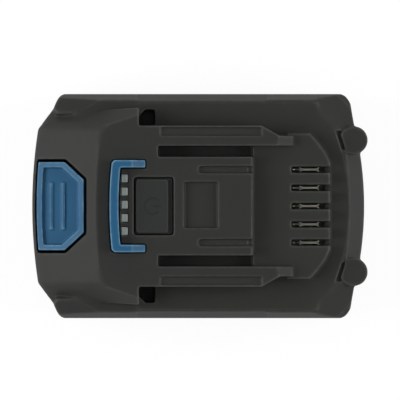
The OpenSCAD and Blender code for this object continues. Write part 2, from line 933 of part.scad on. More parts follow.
module upper_outer() {
    translate([0, 0, case_z])
        linear_extrude(deck_z - case_z)
            rear_deck_plan(0, CUT);
    front_block(0, 0, case_z);
    difference() {
        both_sides()
            side_strip();
        front_bevels();
    }
    box([block_x - CUT, -platform_half, deck_under_z], [platform_x, platform_half, top_z]);
    box([block_x - CUT, -rail_outer, deck_under_z], [slot_x, rail_outer, top_z]);
    translate([0, 0, deck_under_z])
        linear_extrude(term_z - deck_under_z)
            table_plan(0);
    rim();
    both_sides() {
        rail();
        ear();
    }
}

module upper_cavity() {
    low = split_z - CUT;
    reach = 8;
    platform_in = platform_half - skirt_t;
    rail_in = rail_outer - skirt_t;
    translate([0, 0, low])
        linear_extrude(deck_under_z - low)
            rear_deck_plan(skirt_t, reach);
    front_block(nose_wall, top_t, low);
    box([block_x - reach, -platform_in, low], [platform_x - skirt_t, platform_in, top_under_z]);
    box([block_x - reach, -rail_in, low], [slot_x - skirt_t, rail_in, top_under_z]);
    translate([0, 0, low])
        linear_extrude(term_under_z - low)
            table_plan(skirt_t);
}

module upper_supports() {
    stop_margin = 2;
    intersection() {
        front_block(0, 0, case_z);
        union() {
            both_sides()
                translate([front_screw_x, front_screw_y, case_z])
                    cylinder(r = boss_r, h = top_z);
            box([button_end_x + stop_margin, -stem_half, plate_z1 + stop_gap],
                [hook_x - 2 * stop_margin, stem_half, top_z]);
        }
    }
    both_sides() {
        box([block_x - skirt_t, lip_outer - skirt_t, well_z - well_floor],
            [block_x + well_l + skirt_t, deck_half - skirt_t / 2, deck_z - skirt_t / 2]);
        translate([gauge_boss_x, gauge_boss_y, gauge_board_z1])
            cylinder(r = gauge_boss_r, h = top_z - top_t / 2 - gauge_board_z1);
    }
}

module button_plan(grow, front) {
    back = button_end_x + grow;
    half = button_half + grow;
    back_half = button_back_half + grow / 2;
    taper_x = back - button_taper - grow / 2;
    intersection() {
        translate([nose_x + nose_r, 0])
            circle(nose_r - button_front + front, $fn = FINE);
        polygon([
            [nose_x, -half], [nose_x, half], [taper_x, half], [back, back_half],
            [back, -back_half], [taper_x, -half]
        ]);
    }
}

// Hook seen from above: a bowed spine with an arm at each end
module hook_plan(grow) {
    half = hook_half + grow;
    corner_x = hook_x + hook_r - sqrt(pow(hook_r, 2) - pow(hook_half, 2)) - grow;
    edge = [
        [hook_x - grow - CUT, half - 2 * hook_corner], [corner_x, half - hook_corner],
        [corner_x + hook_corner, half], [hook_x + 2 * hook_spine, half]
    ];
    intersection() {
        translate([hook_x + hook_r, 0])
            difference() {
                circle(hook_r + grow, $fn = FINE);
                circle(hook_r - hook_spine - grow, $fn = FINE);
            }
        polygon(concat(edge, [for (i = [len(edge) - 1:-1:0]) [edge[i][0], -edge[i][1]]]));
    }
    for (s = [-1, 1])
        translate([hook_x + hook_spine, s * (hook_half - hook_arm / 2) - hook_arm / 2 - grow])
            square([hook_l - hook_spine + grow, hook_arm + 2 * grow]);
}

module upper_openings() {
    translate([0, 0, split_z - CUT])
        linear_extrude(top_z)
            button_plan(button_gap, button_front_gap);
    translate([0, 0, top_under_z - CUT])
        linear_extrude(top_t + 2 * CUT)
            hook_plan(hook_gap);
    for (i = [0:lamp_count - 1])
        box([lamp_x - window_l / 2, lamp_y(i) - window_w / 2, top_under_z - CUT],
            [lamp_x + window_l / 2, lamp_y(i) + window_w / 2, top_z + CUT]);
    translate([0, 0, top_under_z - CUT])
        linear_extrude(top_t + 2 * CUT)
            rounded_rect(gauge_x, gauge_x1, gauge_half, 1);
    translate([0, 0, top_z - pocket_depth])
        linear_extrude(pocket_depth + CUT)
            translate([0, pocket_shift])
                rounded_rect(pocket_x, pocket_x + pocket_l, pocket_half, pocket_r);
    both_sides() {
        translate([0, groove_y, top_z - groove_depth])
            linear_extrude(groove_depth + CUT)
                rounded_rect(groove_x, platform_x + 2 * groove_w, groove_w / 2, groove_w / 2 - 0.05);
        box([platform_x - groove_notch_l, groove_y - groove_w / 2, top_z - groove_notch_depth],
            [platform_x + CUT, groove_y + groove_w / 2, top_z + CUT]);
        translate([0, 0, top_z - lip_recess])
            linear_extrude(lip_recess + CUT)
                translate([slot_x + 1, rail_outer])
                    square([lip_x - slot_x - 1, lip_outer - rail_outer - 0.5]);
        well();
    }
    for (i = [0:len(CONTACTS) - 1])
        box([table_slot_x, contact_y(i) - slot_w / 2, blade_z],
            [table_x + CUT, contact_y(i) + slot_w / 2, term_z + CUT]);
    for (p = SCREWS)
        translate([p[0], p[1], split_z])
            cylinder(d = screw_d + 2 * thread_play, h = screw_grip + 1);
    both_sides()
        translate([gauge_boss_x, gauge_boss_y, gauge_board_z1 - CUT])
            cylinder(d = gauge_screw_d + 2 * thread_play, h = gauge_screw_l + CUT);
}

// Deep pocket behind the front block, with one corner cut off
module well() {
    cut_x = 2.2;
    cut_y = 2.4;
    x1 = block_x + well_l;
    y1 = deck_half - well_side;
    translate([0, 0, well_z])
        linear_extrude(top_z)
            polygon([
                [block_x, lip_outer], [x1, lip_outer], [x1, y1], [block_x + cut_x, y1], [block_x, y1 - cut_y]
            ]);
}

module upper_case() {
    color(CASE)
        difference() {
            union() {
                difference() {
                    upper_outer();
                    upper_cavity();
                }
                upper_supports();
            }
            upper_openings();
        }
}

module screw(d, head_d, head_h, length) {
    socket_part = 0.5;
    cylinder(d = d, h = length);
    translate([0, 0, -head_h])
        difference() {
            cylinder(d = head_d, h = head_h);
            translate([0, 0, -CUT])
                cylinder(d = head_d * socket_part, h = CUT + head_h * socket_part, $fn = 6);
        }
}

module case_screws() {
    color(STEEL)
        for (p = SCREWS)
            translate([p[0], p[1], seat_z])
                screw(screw_d, screw_head_d, screw_head_h, screw_l);
}

// Solid under the button's dish, which is flatter than the nose, lowered by an amount
module dish_cone(lower) {
    spare = 12;
    front_r = crease_r + crease_x - button_x - button_rim;
    front_z = top_z - (front_r - crease_r) * tan(slope_deg) + button_proud - button_dish - lower;
    low = plate_z1 - 2 * CUT;
    high = front_z + spare;
    tip_r = front_r - spare / tan(dish_deg);
    translate([crease_x + crease_r, 0, low])
        cylinder(h = high - low, r1 = tip_r + (high - low) / tan(dish_deg), r2 = tip_r, $fn = FINE);
}

module release_button() {
    peg_wall = 1.2;
    peg_room = 0.2;
    color(BLUE)
        difference() {
            union() {
                difference() {
                    intersection() {
                        translate([0, 0, plate_z1])
                            linear_extrude(top_z)
                                button_plan(0, 0);
                        slope_cone(-button_proud);
                    }
                    difference() {
                        translate([0, 0, plate_z1])
                            linear_extrude(top_z)
                                button_plan(-button_rim, -button_rim);
                        dish_cone(0);
                    }
                    intersection() {
                        translate([0, 0, plate_z1 - CUT])
                            linear_extrude(top_z)
                                button_plan(-button_wall, -button_wall);
                        dish_cone(button_wall / cos(dish_deg));
                    }
                }
                intersection() {
                    dish_cone(-ridge_h);
                    for (x = RIDGES)
                        box([x, -ridge_half, plate_z1], [x + ridge_w, ridge_half, top_z]);
                }
                intersection() {
                    dish_cone(button_wall / 2);
                    both_sides()
                        translate([peg_x, peg_y, plate_z1])
                            cylinder(r = peg_r + peg_wall, h = top_z);
                }
            }
            both_sides()
                translate([peg_x, peg_y, plate_z1 - CUT])
                    cylinder(r = peg_r + thread_play, h = peg_h + CUT + peg_room);
        }
}

module latch_slider() {
    color(BLUE) {
        difference() {
            translate([0, 0, hook_z0])
                linear_extrude(hook_z1 - hook_z0)
                    hook_plan(0);
            along_y(-half_w, half_w)
                polygon([
                    [hook_x1 - hook_ramp_l, hook_z1], [hook_x1 + CUT, top_z],
                    [hook_x1 + CUT, hook_z1 + CUT], [hook_x1 - hook_ramp_l, hook_z1 + CUT]
                ]);
        }
        intersection() {
            translate([0, 0, plate_z0])
                linear_extrude(hook_z1 - plate_z0)
                    hook_plan(0);
            box([hook_x - CUT, -stem_half, plate_z0], [hook_x1, stem_half, top_z]);
        }
        box([plate_x0, -plate_half, plate_z0], [button_end_x, plate_half, plate_z1]);
        box([button_end_x - CUT, -stem_half, plate_z0], [hook_x + 1, stem_half, plate_z1]);
        both_sides() {
            translate([peg_x, peg_y, plate_z1 - CUT])
                cylinder(r = peg_r, h = peg_h + CUT);
            translate([spring_x, spring_y, plate_z0 - spring_pin_h])
                cylinder(r = spring_pin_r, h = spring_pin_h + CUT);
        }
    }
}

// One unbroken wire along a helix, with rings across the wire and flat caps
module helix(mean_r, wire_d, turns, length) {
    sides = 6;
    turn_steps = 8;
    steps = turn_steps * turns;
    wire_r = wire_d / 2;
    climb = length - wire_d;
    lean = atan2(climb / turns, 2 * PI * mean_r);
    points = [
        for (i = [0:steps], k = [0:sides - 1])
            let (turn = 360 * turns * i / steps, a = 360 * k / sides, out = mean_r + wire_r * cos(a))
                [
                    out * cos(turn) + wire_r * sin(a) * sin(lean) * sin(turn),
                    out * sin(turn) - wire_r * sin(a) * sin(lean) * cos(turn),
                    wire_r + climb * i / steps + wire_r * sin(a) * cos(lean)
                ]
    ];
    skin = [
        for (i = [0:steps - 1], k = [0:sides - 1])
            let (a = i * sides + k, b = i * sides + (k + 1) % sides)
                each [[a, a + sides, b], [b, a + sides, b + sides]]
    ];
    ring = turn_steps * sides;
    gaps = [
        for (i = [0:steps - turn_steps], a = [0:sides - 1], b = [0:sides - 1])
            norm(points[i * sides + a] - points[i * sides + b + ring])
    ];
    echo(least_gap_between_turns = min(gaps));
    last = steps * sides;
    caps = [for (k = [1:sides - 2]) each [[0, k, k + 1], [last, last + k + 1, last + k]]];
    polyhedron(points, concat(skin, caps));
}

module latch_spring(side) {
    color(STEEL)
        translate([spring_x, side * spring_y, spring_z0])
            helix(spring_r, spring_wire, spring_turns, spring_l);
}

module gauge_button() {
    flange_half = gauge_half + flange_over;
    step_half = gauge_half - gauge_play;
    color(CASE) {
        translate([0, 0, flange_z0])
            linear_extrude(flange_t)
                rounded_rect(gauge_x - flange_over, gauge_x1 + flange_over, flange_half, 1);
        translate([0, 0, flange_z0])
            linear_extrude(gauge_step_z - flange_z0)
                rounded_rect(gauge_x + gauge_play, gauge_x1 - gauge_play, step_half, 0.9);
        translate([0, 0, flange_z0])
            linear_extrude(gauge_face_z - flange_z0)
                rounded_rect(gauge_face_x, gauge_face_x + gauge_face_l, gauge_face_half, 1);
        translate([switch_x, 0, flange_z0 - stem_h])
            cylinder(r = plunger_r + 0.4, h = stem_h + CUT);
    }
}

module gauge_switch() {
    color(BLACK)
        difference() {
            box([switch_x - switch_w / 2, -switch_w / 2, gauge_board_z1],
                [switch_x + switch_w / 2, switch_w / 2, switch_z1]);
            translate([switch_x, 0, switch_z1 - plunger_in - gauge_travel - 0.4])
                cylinder(r = plunger_r + 0.2, h = switch_h);
        }
}

module gauge_switch_plunger() {
    color("#c9b48a")
        translate([switch_x, 0, switch_z1 - plunger_in])
            cylinder(r = plunger_r, h = plunger_in + plunger_out);
}

module gauge_board() {
    color(GREEN)
        difference() {
            box([gauge_board_x0, -gauge_board_half, gauge_board_z0],
                [gauge_board_x1, gauge_board_half, gauge_board_z1]);
            both_sides()
                translate([gauge_boss_x, gauge_boss_y, gauge_board_z0 - CUT])
                    cylinder(d = gauge_screw_d + 2 * screw_play, h = gauge_board_t + 2 * CUT);
        }
}

module gauge_lamps() {
    half_l = 0.6;
    half_y = 1;
    color("#e8e6d0")
        for (i = [0:lamp_count - 1])
            box([lamp_x - half_l, lamp_y(i) - half_y, gauge_board_z1],
                [lamp_x + half_l, lamp_y(i) + half_y, gauge_board_z1 + lamp_h]);
}

module light_pipe() {
    half_l = window_l / 2 - window_play;
    half_y = window_w / 2 - window_play;
    bar_half = gauge_board_half - 0.8;
    bar_t = 2;
    color("#9aa09c") {
        for (i = [0:lamp_count - 1])
            box([lamp_x - half_l, lamp_y(i) - half_y, gauge_board_z1 + lamp_h + 0.1],
                [lamp_x + half_l, lamp_y(i) + half_y, top_z - 0.2]);
        box([lamp_x - half_l, -bar_half, flange_z1 - bar_t], [lamp_x + half_l, bar_half, flange_z1]);
    }
}

module gauge_header() {
    pin_pitch = 2.54;
    half_l = pin_pitch / 2;
    half_y = 4 * pin_pitch / 2;
    color(BLACK)
        box([switch_x - half_l, -half_y, board_z1], [switch_x + half_l, half_y, gauge_board_z0]);
}

module gauge_screws() {
    color(STEEL)
        both_sides()
            translate([gauge_boss_x, gauge_boss_y, gauge_board_z0])
                screw(gauge_screw_d, gauge_screw_d * 1.8, gauge_screw_head_h, gauge_screw_l);
}

module circuit_board() {
    color(GREEN)
        difference() {
            translate([0, 0, board_z0])
                linear_extrude(board_t)
                    rounded_rect(board_x0, board_x1, board_half, 2);
            for (p = standoffs())
                translate([p[0], p[1], board_z0 - CUT])
                    cylinder(d = board_screw_d + 2 * screw_play, h = board_t + 2 * CUT);
        }
}

module board_screws() {
    color(STEEL)
        for (p = standoffs())
            translate([p[0], p[1], board_z1])
                rotate([180, 0, 0])
                    screw(board_screw_d, board_screw_head_d, board_screw_head_h, board_screw_l);
}

// Comb of insulating walls between the contacts, open towards the tool
module terminal_block() {
    x0 = table_slot_x - channel_wall;
    z1 = term_under_z - 0.2;
    color(BLACK)
        difference() {
            box([x0, -block_half, board_z1], [block_end_x, block_half, z1]);
            for (i = [0:len(CONTACTS) - 1])
                box([table_slot_x, contact_y(i) - channel_w / 2, board_z1 - CUT],
                    [block_end_x + CUT, contact_y(i) + channel_w / 2, z1 + CUT]);
        }
}

// Two leaves that lean together to grip a blade, and a post in front of them, on a common foot
module contact(index) {
    steps = 12;
    grip = leaf_grip / 2;
    mouth = leaf_mouth / 2;
    inner = [
        for (i = [0:steps])
            let (t = 2 * i / steps - 1)
                [leaf_x + t * leaf_l / 2, grip + (mouth - grip) * pow(sin(90 * t), 2)]
    ];
    outer = [for (i = [steps:-1:0]) inner[i] + [0, leaf_t]];
    color(NICKEL)
        translate([0, contact_y(index), board_z1]) {
            for (s = [0, 1])
                mirror([0, s, 0])
                    linear_extrude(contact_room - contact_top_gap)
                        polygon(concat(inner, outer));
            box([leaf_x - leaf_l / 2, -mouth - leaf_t, 0], [leaf_x + leaf_l / 2, mouth + leaf_t, foot_t]);
            box([table_slot_x + post_back - post_r, -post_r, 0], [leaf_x, post_r, foot_t]);
            translate([table_slot_x + post_back, 0, 0])
                cylinder(r = post_r, h = contact_room - contact_top_gap - post_low);
        }
}

module power_transistors() {
    half_l = transistor_l / 2;
    half_y = transistor_w / 2;
    tab_out = half_y + tab_reach;
    leg_out = half_y + leg_reach;
    color(BLACK)
        for (x = [platform_x - transistor_step, platform_x], s = [-1, 1])
            translate([x, s * transistor_y, board_z1]) {
                box([-half_l, -half_y, 0], [half_l, half_y, transistor_t]);
                box([leg_w - half_l, -tab_out, 0], [half_l - leg_w, 0, leg_t]);
                for (side = [0, 1])
                    mirror([side, 0, 0])
                        box([half_l - 2 * leg_w, 0, 0], [half_l - leg_w, leg_out, leg_t]);
            }
}

module current_shunt() {
    color(NICKEL)
        translate([platform_x - shunt_l + 1, -shunt_w / 2, board_z1])
            cube([shunt_l, shunt_w, shunt_t]);
}

module controller_chip() {
    color(BLACK)
        translate([gauge_x1 - chip_w, gauge_board_half + 1, board_z1])
            cube([chip_w, chip_w, chip_t]);
}

module small_parts() {
    color("#a58a5c")
        for (i = [1:SMALL_PAIRS], s = [-1, 1])
            translate([gauge_x1 + small_step * i, s * small_y - small_w / 2, board_z1])
                cube([small_l, small_w, small_t]);
}

// Bead lying in the valley between two upper cells, with two leads up to the board
module thermistor() {
    bead_r = 1.2;
    bead_l = 8;
    lead_r = 0.35;
    touch = cell_r + bead_r + 0.1;
    z = cell_z(ROWS - 1) + sqrt(touch * touch - pitch * pitch / 4);
    color("#8a6a2a")
        translate([valley_x(2), 0, 0]) {
            translate([0, bead_l / 2, z])
                rotate([90, 0, 0])
                    cylinder(r = bead_r, h = bead_l);
            for (s = [-1, 1])
                translate([0, s * bead_l / 4, z])
                    cylinder(r = lead_r, h = board_z0 - z);
        }
}

// Holder half around one end of all cells, with posts that meet the other half
module cell_holder(side, spigot) {
    z_mid = (cell_z(0) + cell_z(ROWS - 1)) / 2;
    spigot_l = 4;
    module holder_posts() {
        for (c = [0:COLUMNS - 2])
            translate([valley_x(c), 0, z_mid])
                rotate([-90, 0, 0])
                    children();
    }
    color("#3c4042")
        mirror([0, side < 0 ? 1 : 0, 0]) {
            difference() {
                union() {
                    box([module_x0, end_y - holder_depth, holder_z0], [module_x1, end_y, holder_z1]);
                    holder_posts()
                        cylinder(d = post_d, h = end_y - holder_depth + CUT);
                    for (c = [0, COLUMNS - 2])
                        translate([valley_x(c), standoff_y, holder_z1 - CUT])
                            cylinder(r = standoff_r, h = board_gap + CUT);
                }
                for (c = [0:COLUMNS - 1], r = [0:ROWS - 1])
                    translate([cell_x(c), 0, cell_z(r)])
                        rotate([-90, 0, 0])
                            cylinder(d = cell_d + 2 * pocket_play, h = cell_l);
                for (c = [0, COLUMNS - 2])
                    translate([valley_x(c), standoff_y, holder_z1 - board_screw_l])
                        cylinder(d = board_screw_d + 2 * thread_play, h = FAR);
                if (!spigot)
                    holder_posts()
                        translate([0, 0, -CUT])
                            cylinder(d = spigot_d + 2 * thread_play, h = spigot_l + CUT + 0.2);
            }
            if (spigot)
                holder_posts()
                    translate([0, 0, -spigot_l])
                        cylinder(d = spigot_d, h = spigot_l + CUT);
        }
}

// Positive end of a column of cells: +1 for the left side of the pack, -1 for the right
function column_side(column) = column % 2 == 0 ? 1 : -1;

module cell(number) {
    column = floor((number - 1) / ROWS);
    row = (number - 1) % ROWS;
    side = column_side(column);
    color("#5a7f6a")
        translate([cell_x(column), 0, cell_z(row)])
            rotate([-90 * side, 0, 0])
                translate([0, 0, -end_y]) {
                    cylinder(r = cell_r, h = cell_l - cap_h);
                    cylinder(d = cap_d, h = cell_l);
                }
}

module cell_rings() {
    color("#d8d2c0")
        for (c = [0:COLUMNS - 1], r = [0:ROWS - 1])
            translate([cell_x(c), 0, cell_z(r)])
                rotate([-90 * column_side(c), 0, 0])
                    translate([0, 0, end_y - cap_h])
                        difference() {
                            cylinder(r = cell_r - 0.3, h = cap_h - 0.15);
                            translate([0, 0, -CUT])
                                cylinder(d = cap_d + 0.6, h = cap_h + 2 * CUT);
                        }
}

// Nickel strip over one or two columns of cells, with a tab bent over the board's edge
module bus(index) {
    side = index % 2 == 0 ? -1 : 1;
    first = max(index - 1, 0);
    last = min(index, COLUMNS - 1);
    x0 = cell_x(first) - strip_w / 2;
    x1 = cell_x(last) + strip_w / 2;
    low = cell_z(0) - strip_w / 2;
    high = cell_z(ROWS - 1) + strip_w / 2;
    tab_x = index == 0 ? board_x0 + tab_w : cell_x(last);
    tab_x0 = tab_x - tab_w / 2;
    tab_x1 = tab_x + tab_w / 2;
    tab_z = board_z1 + strip_t;
    tab_lap = 2;
    color(NICKEL)
        mirror([0, side < 0 ? 1 : 0, 0]) {
            difference() {
                box([x0, end_y, low], [x1, strip_y, high]);
                if (last > first)
                    box([x0 + strip_w, end_y - CUT, low + strip_w],
                        [x1 - strip_w, strip_y + CUT, high - strip_w]);
            }
            box([min(x0, tab_x0), end_y, high - tab_w], [max(tab_x1, x0 + tab_w), strip_y, high]);
            box([tab_x0, end_y, high - tab_w], [tab_x1, strip_y, tab_z]);
            box([tab_x0, board_half - tab_lap, board_z1], [tab_x1, strip_y, tab_z]);
        }
}

module insulator(side) {
    edge = 2;
    color("#b9a67a")
        mirror([0, side < 0 ? 1 : 0, 0])
            box([module_x0 + edge, strip_y, holder_z0 + edge],
                [module_x1 - edge, paper_y, holder_z1 - edge / 2]);
}

module side_pad(side) {
    edge = 4;
    color(FOAM)
        mirror([0, side < 0 ? 1 : 0, 0])
            box([module_x0 + edge, paper_y, holder_z0 + edge],
                [module_x1 - edge, side_pad_y, holder_z1 - edge]);
}

module base_pad(side) {
    edge = 4;
    color(FOAM)
        mirror([0, side < 0 ? 1 : 0, 0])
            box([module_x0 + edge, end_y - holder_depth + 1, floor_t],
                [module_x1 - edge, end_y - 1, holder_z0]);
}

lower_case();
upper_case();
case_screws();
release_button();
latch_slider();
latch_spring(1);  // latch_spring_left
latch_spring(-1);  // latch_spring_right
gauge_button();
gauge_switch();
gauge_switch_plunger();
gauge_board();
gauge_lamps();
light_pipe();
gauge_header();
gauge_screws();
circuit_board();
board_screws();
terminal_block();
for (i = [0:len(CONTACTS) - 1])
    contact(i);
power_transistors();
current_shunt();
controller_chip();
small_parts();
thermistor();
cell_holder(1, true);  // cell_holder_left
cell_holder(-1, false);  // cell_holder_right
cell_rings();
for (n = [1:COLUMNS * ROWS])
    cell(n);
for (i = [0:len(BUSES) - 1])
    bus(i);
insulator(1);  // insulator_left
insulator(-1);  // insulator_right
side_pad(1);  // side_pad_left
side_pad(-1);  // side_pad_right
base_pad(1);  // base_pad_left
base_pad(-1);  // base_pad_right
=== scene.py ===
# %% [markdown]
# # Dressing a slide-on battery pack
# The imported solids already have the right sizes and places: two case halves, a sprung latch, a charge gauge,
# and the cells and boards inside. This lesson gives them what a mould, a press or a lathe leaves behind:
# rounded edges, grain, sheen and wear. Everything is in metres, in the same frame as the solids.

# %% Load the solids as a fixed frame
import json

import bmesh
import bpy
import numpy as np
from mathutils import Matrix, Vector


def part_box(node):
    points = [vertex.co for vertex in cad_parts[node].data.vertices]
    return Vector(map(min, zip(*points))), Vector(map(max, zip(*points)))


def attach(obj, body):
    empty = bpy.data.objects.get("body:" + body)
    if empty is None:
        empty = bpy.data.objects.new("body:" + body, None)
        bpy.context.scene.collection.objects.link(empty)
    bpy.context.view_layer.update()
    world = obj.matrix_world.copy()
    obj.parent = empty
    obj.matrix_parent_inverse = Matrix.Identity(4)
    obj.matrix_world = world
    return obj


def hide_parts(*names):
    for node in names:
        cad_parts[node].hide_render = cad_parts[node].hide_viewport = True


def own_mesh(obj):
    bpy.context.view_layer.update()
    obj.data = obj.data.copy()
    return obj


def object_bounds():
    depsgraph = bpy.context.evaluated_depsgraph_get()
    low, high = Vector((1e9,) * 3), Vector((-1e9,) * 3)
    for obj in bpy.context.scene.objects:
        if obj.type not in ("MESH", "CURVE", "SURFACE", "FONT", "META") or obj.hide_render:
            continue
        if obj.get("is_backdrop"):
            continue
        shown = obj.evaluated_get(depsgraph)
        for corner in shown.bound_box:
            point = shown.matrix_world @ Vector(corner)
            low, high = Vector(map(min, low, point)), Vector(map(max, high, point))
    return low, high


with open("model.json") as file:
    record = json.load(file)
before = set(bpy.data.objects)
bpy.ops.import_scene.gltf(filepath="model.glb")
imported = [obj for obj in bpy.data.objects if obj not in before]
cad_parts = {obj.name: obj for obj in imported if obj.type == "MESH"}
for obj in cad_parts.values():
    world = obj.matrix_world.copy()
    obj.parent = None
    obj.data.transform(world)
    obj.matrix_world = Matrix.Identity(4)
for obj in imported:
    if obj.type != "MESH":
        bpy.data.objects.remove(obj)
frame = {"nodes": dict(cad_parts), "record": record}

MM = 0.001
cad_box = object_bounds()
nodes = frame["nodes"]
scene = bpy.context.scene
sides_mm = [round((high - low) / MM, 1) for low, high in zip(*cad_box)]
print("solids:", len(nodes), "in a box of", sides_mm, "mm")

# %% [markdown]
# ## The camera
# The picture looks straight down on the pack, from so far away that near and far edges show at one scale.
# A long lens four metres up gives that without switching to a flat projection. One pixel of the picture is
# 0.357 mm at the height of the split between the case halves, and the pack's middle lies a little below
# the picture's middle, so the camera stands that much to the side.

# %% Camera
PICTURE = 400
MM_PER_PIXEL = 0.357
PACK_MIDDLE = (199.85, 206.1)
CAMERA_Z = 4.0
SENSOR = 36.0
split_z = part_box("upper_case")[0].z

lens = bpy.data.cameras.new("long_lens")
lens.sensor_fit = "HORIZONTAL"
lens.sensor_width = SENSOR
lens.lens = SENSOR * (CAMERA_Z - split_z) / (PICTURE * MM_PER_PIXEL * MM)
lens.clip_end = 4 * CAMERA_Z
camera = bpy.data.objects.new("camera", lens)
camera.location = (
    (PICTURE / 2 - PACK_MIDDLE[0]) * MM_PER_PIXEL * MM,
    (PACK_MIDDLE[1] - PICTURE / 2) * MM_PER_PIXEL * MM,
    CAMERA_Z,
)
scene.collection.objects.link(camera)
scene.camera = camera
print("lens:", round(lens.lens), "mm")

# %% [markdown]
# ## Two helpers for finishes
# Every finish below is a small web of shader nodes. One helper turns the hex colours that people write
# into the linear numbers that light is added up in. The other adds a node, sets its properties, and fills
# its sockets with values or with links from other nodes.

# %% Colour and node helpers


def linear(hex_colour):
    """An sRGB hex colour as linear RGBA: the standard curve, a power of 2.4 with a straight foot."""
    srgb = np.array([int(hex_colour[i:i + 2], 16) for i in (1, 3, 5)]) / 255
    rgb = np.where(srgb <= 0.04045, srgb / 12.92, ((srgb + 0.055) / 1.055) ** 2.4)
    return (*rgb.tolist(), 1.0)


def add(tree, kind, sockets=None, **settings):
    """Adds one node. Settings are its properties; sockets maps a name or number to a value or an output."""
    node = tree.nodes.new("ShaderNode" + kind)
    for name, value in settings.items():
        setattr(node, name, value)
    for key, value in (sockets or {}).items():
        if isinstance(value, bpy.types.NodeSocket):
            tree.links.new(value, node.inputs[key])
        else:
            node.inputs[key].default_value = value
    return node


print("mid grey #808080 is", round(linear("#808080")[0], 3), "in linear light")

# %% [markdown]
# ## Studio: floor, sky and lamps
# The pack lies on white. Four soft lamps stand around it, the strongest ahead of the nose, so the sloping
# nose and each rounded edge find a bright one to mirror. A grey card hangs overhead for the sheen alone: the
# flat top mirrors it and stays deep grey, while the sky's soft light still reaches into every slot. Sky and
# floor are white where the lens or a mirror-like surface sees them; the light that they shed is weaker.

# %% Floor, card and sky
FLOOR_SIZE = 12.0
FLOOR_DROP = 0.2 * MM
CARD_SIZE = 4.0
CARD_Z = 0.9
CARD_ROUGHNESS = 0.9
SKY_LIGHT = 0.52


def flat_square(name, size, z):
    """A level square: the points (u, v, z) for u and v at plus and minus half the size."""
    u, v = np.meshgrid([-size / 2, size / 2], [-size / 2, size / 2])
    points = np.stack([u.ravel(), v.ravel(), np.full(4, z)], axis=1)
    mesh = bpy.data.meshes.new(name)
    mesh.from_pydata(points.tolist(), [], [(0, 1, 3, 2)])
    square = bpy.data.objects.new(name, mesh)
    scene.collection.objects.link(square)
    square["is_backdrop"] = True
    return square


def seen_white(tree):
    """The share of rays from the lens, mirrors and glass, and the plain white of strength 1 that they see."""
    path = add(tree, "LightPath")
    mirror = add(tree, "Math", {0: path.outputs["Is Glossy Ray"], 1: path.outputs["Is Transmission Ray"]},
                 operation="MAXIMUM")
    seen = add(tree, "Math", {0: path.outputs["Is Camera Ray"], 1: mirror.outputs[0]}, operation="MAXIMUM")
    white = add(tree, "Emission", {"Color": (1, 1, 1, 1), "Strength": 1.0})
    return seen.outputs[0], white.outputs[0]


PAPER_GLOW = 0.92
floor = flat_square("floor", FLOOR_SIZE, -FLOOR_DROP)
paper = bpy.data.materials.new("white_paper_sweep")
paper.use_nodes = True
tree = paper.node_tree
tree.nodes.clear()
matt = add(tree, "BsdfDiffuse", {"Color": linear("#f4f4f2")})
seen, white = seen_white(tree)
share = add(tree, "Math", {0: seen, 1: PAPER_GLOW}, operation="MULTIPLY")
mixed = add(tree, "MixShader", {0: share.outputs[0], 1: matt.outputs[0], 2: white})
add(tree, "OutputMaterial", {"Surface": mixed.outputs[0]})
floor.data.materials.append(paper)

card = flat_square("overhead_card", CARD_SIZE, CARD_Z)
card.visible_camera = False
card.visible_diffuse = False
card.visible_shadow = False
grey_card = bpy.data.materials.new("grey_card")
grey_card.use_nodes = True
card_surface = grey_card.node_tree.nodes["Principled BSDF"]
card_surface.inputs["Base Color"].default_value = linear("#b4b4b4")
card_surface.inputs["Roughness"].default_value = CARD_ROUGHNESS
card.data.materials.append(grey_card)

sky = bpy.data.worlds.new("studio_sky")
scene.world = sky
sky.use_nodes = True
tree = sky.node_tree
tree.nodes.clear()
dim = add(tree, "Background", {"Color": (1, 1, 1, 1), "Strength": SKY_LIGHT})
seen, white = seen_white(tree)
mixed = add(tree, "MixShader", {0: seen, 1: dim.outputs[0], 2: white})
add(tree, "OutputWorld", {"Surface": mixed.outputs[0]})
scene.view_settings.view_transform = "Standard"
print("sky sheds", SKY_LIGHT, "and shows white")

# %% Lamps
LAMP_DISTANCE = 0.9
LAMP_HEIGHT = 0.55
LAMP_SIZE = 0.6
LAMP_WATTS = {"nose": (180, 10.0), "contacts": (0, 8.0), "left": (90, 0.9), "right": (270, 0.2)}

for name, (bearing, watts) in LAMP_WATTS.items():
    lamp = bpy.data.lights.new("softbox_" + name, "AREA")
    lamp.shape = "SQUARE"
    lamp.size = LAMP_SIZE
    lamp.energy = watts
    box = bpy.data.objects.new("softbox_" + name, lamp)
    turn = np.radians(bearing)
    box.location = (LAMP_DISTANCE * np.cos(turn), LAMP_DISTANCE * np.sin(turn), LAMP_HEIGHT)
    tilt = np.arctan2(LAMP_DISTANCE, LAMP_HEIGHT)
    box.rotation_euler = (tilt, 0, turn + np.pi / 2)
    scene.collection.objects.link(box)
print("lamps:", LAMP_WATTS)

# %% [markdown]
# ## Moulded plastics
# The case is glass-filled nylon, dyed through in charcoal. Its mould was spark-eroded, which leaves a fine
# even grain that scatters light, so the sheen is broad and soft. Handling polishes the edges first. The
# blue latch pieces are acetal from a smoother mould. One function makes them all, from two close colours
# that drift over the part, a grain size in millimetres, and a paler colour for the outer edges, which is
# partly wear and partly a painted highlight. The grain is drawn several times coarser than the real one, which
# would vanish at this size.

# %% Moulded plastic finishes
DRIFT_MM = 11.0
SCUFF_MM = 2.2
ROUGH_SPREAD = 0.08
RUB_POLISH = -0.2
DENT_STRENGTH = 0.4


def scale_of(size_mm):
    """Noise scale for spots of a real size: the texture's unit is one metre."""
    return 1 / (size_mm * MM)


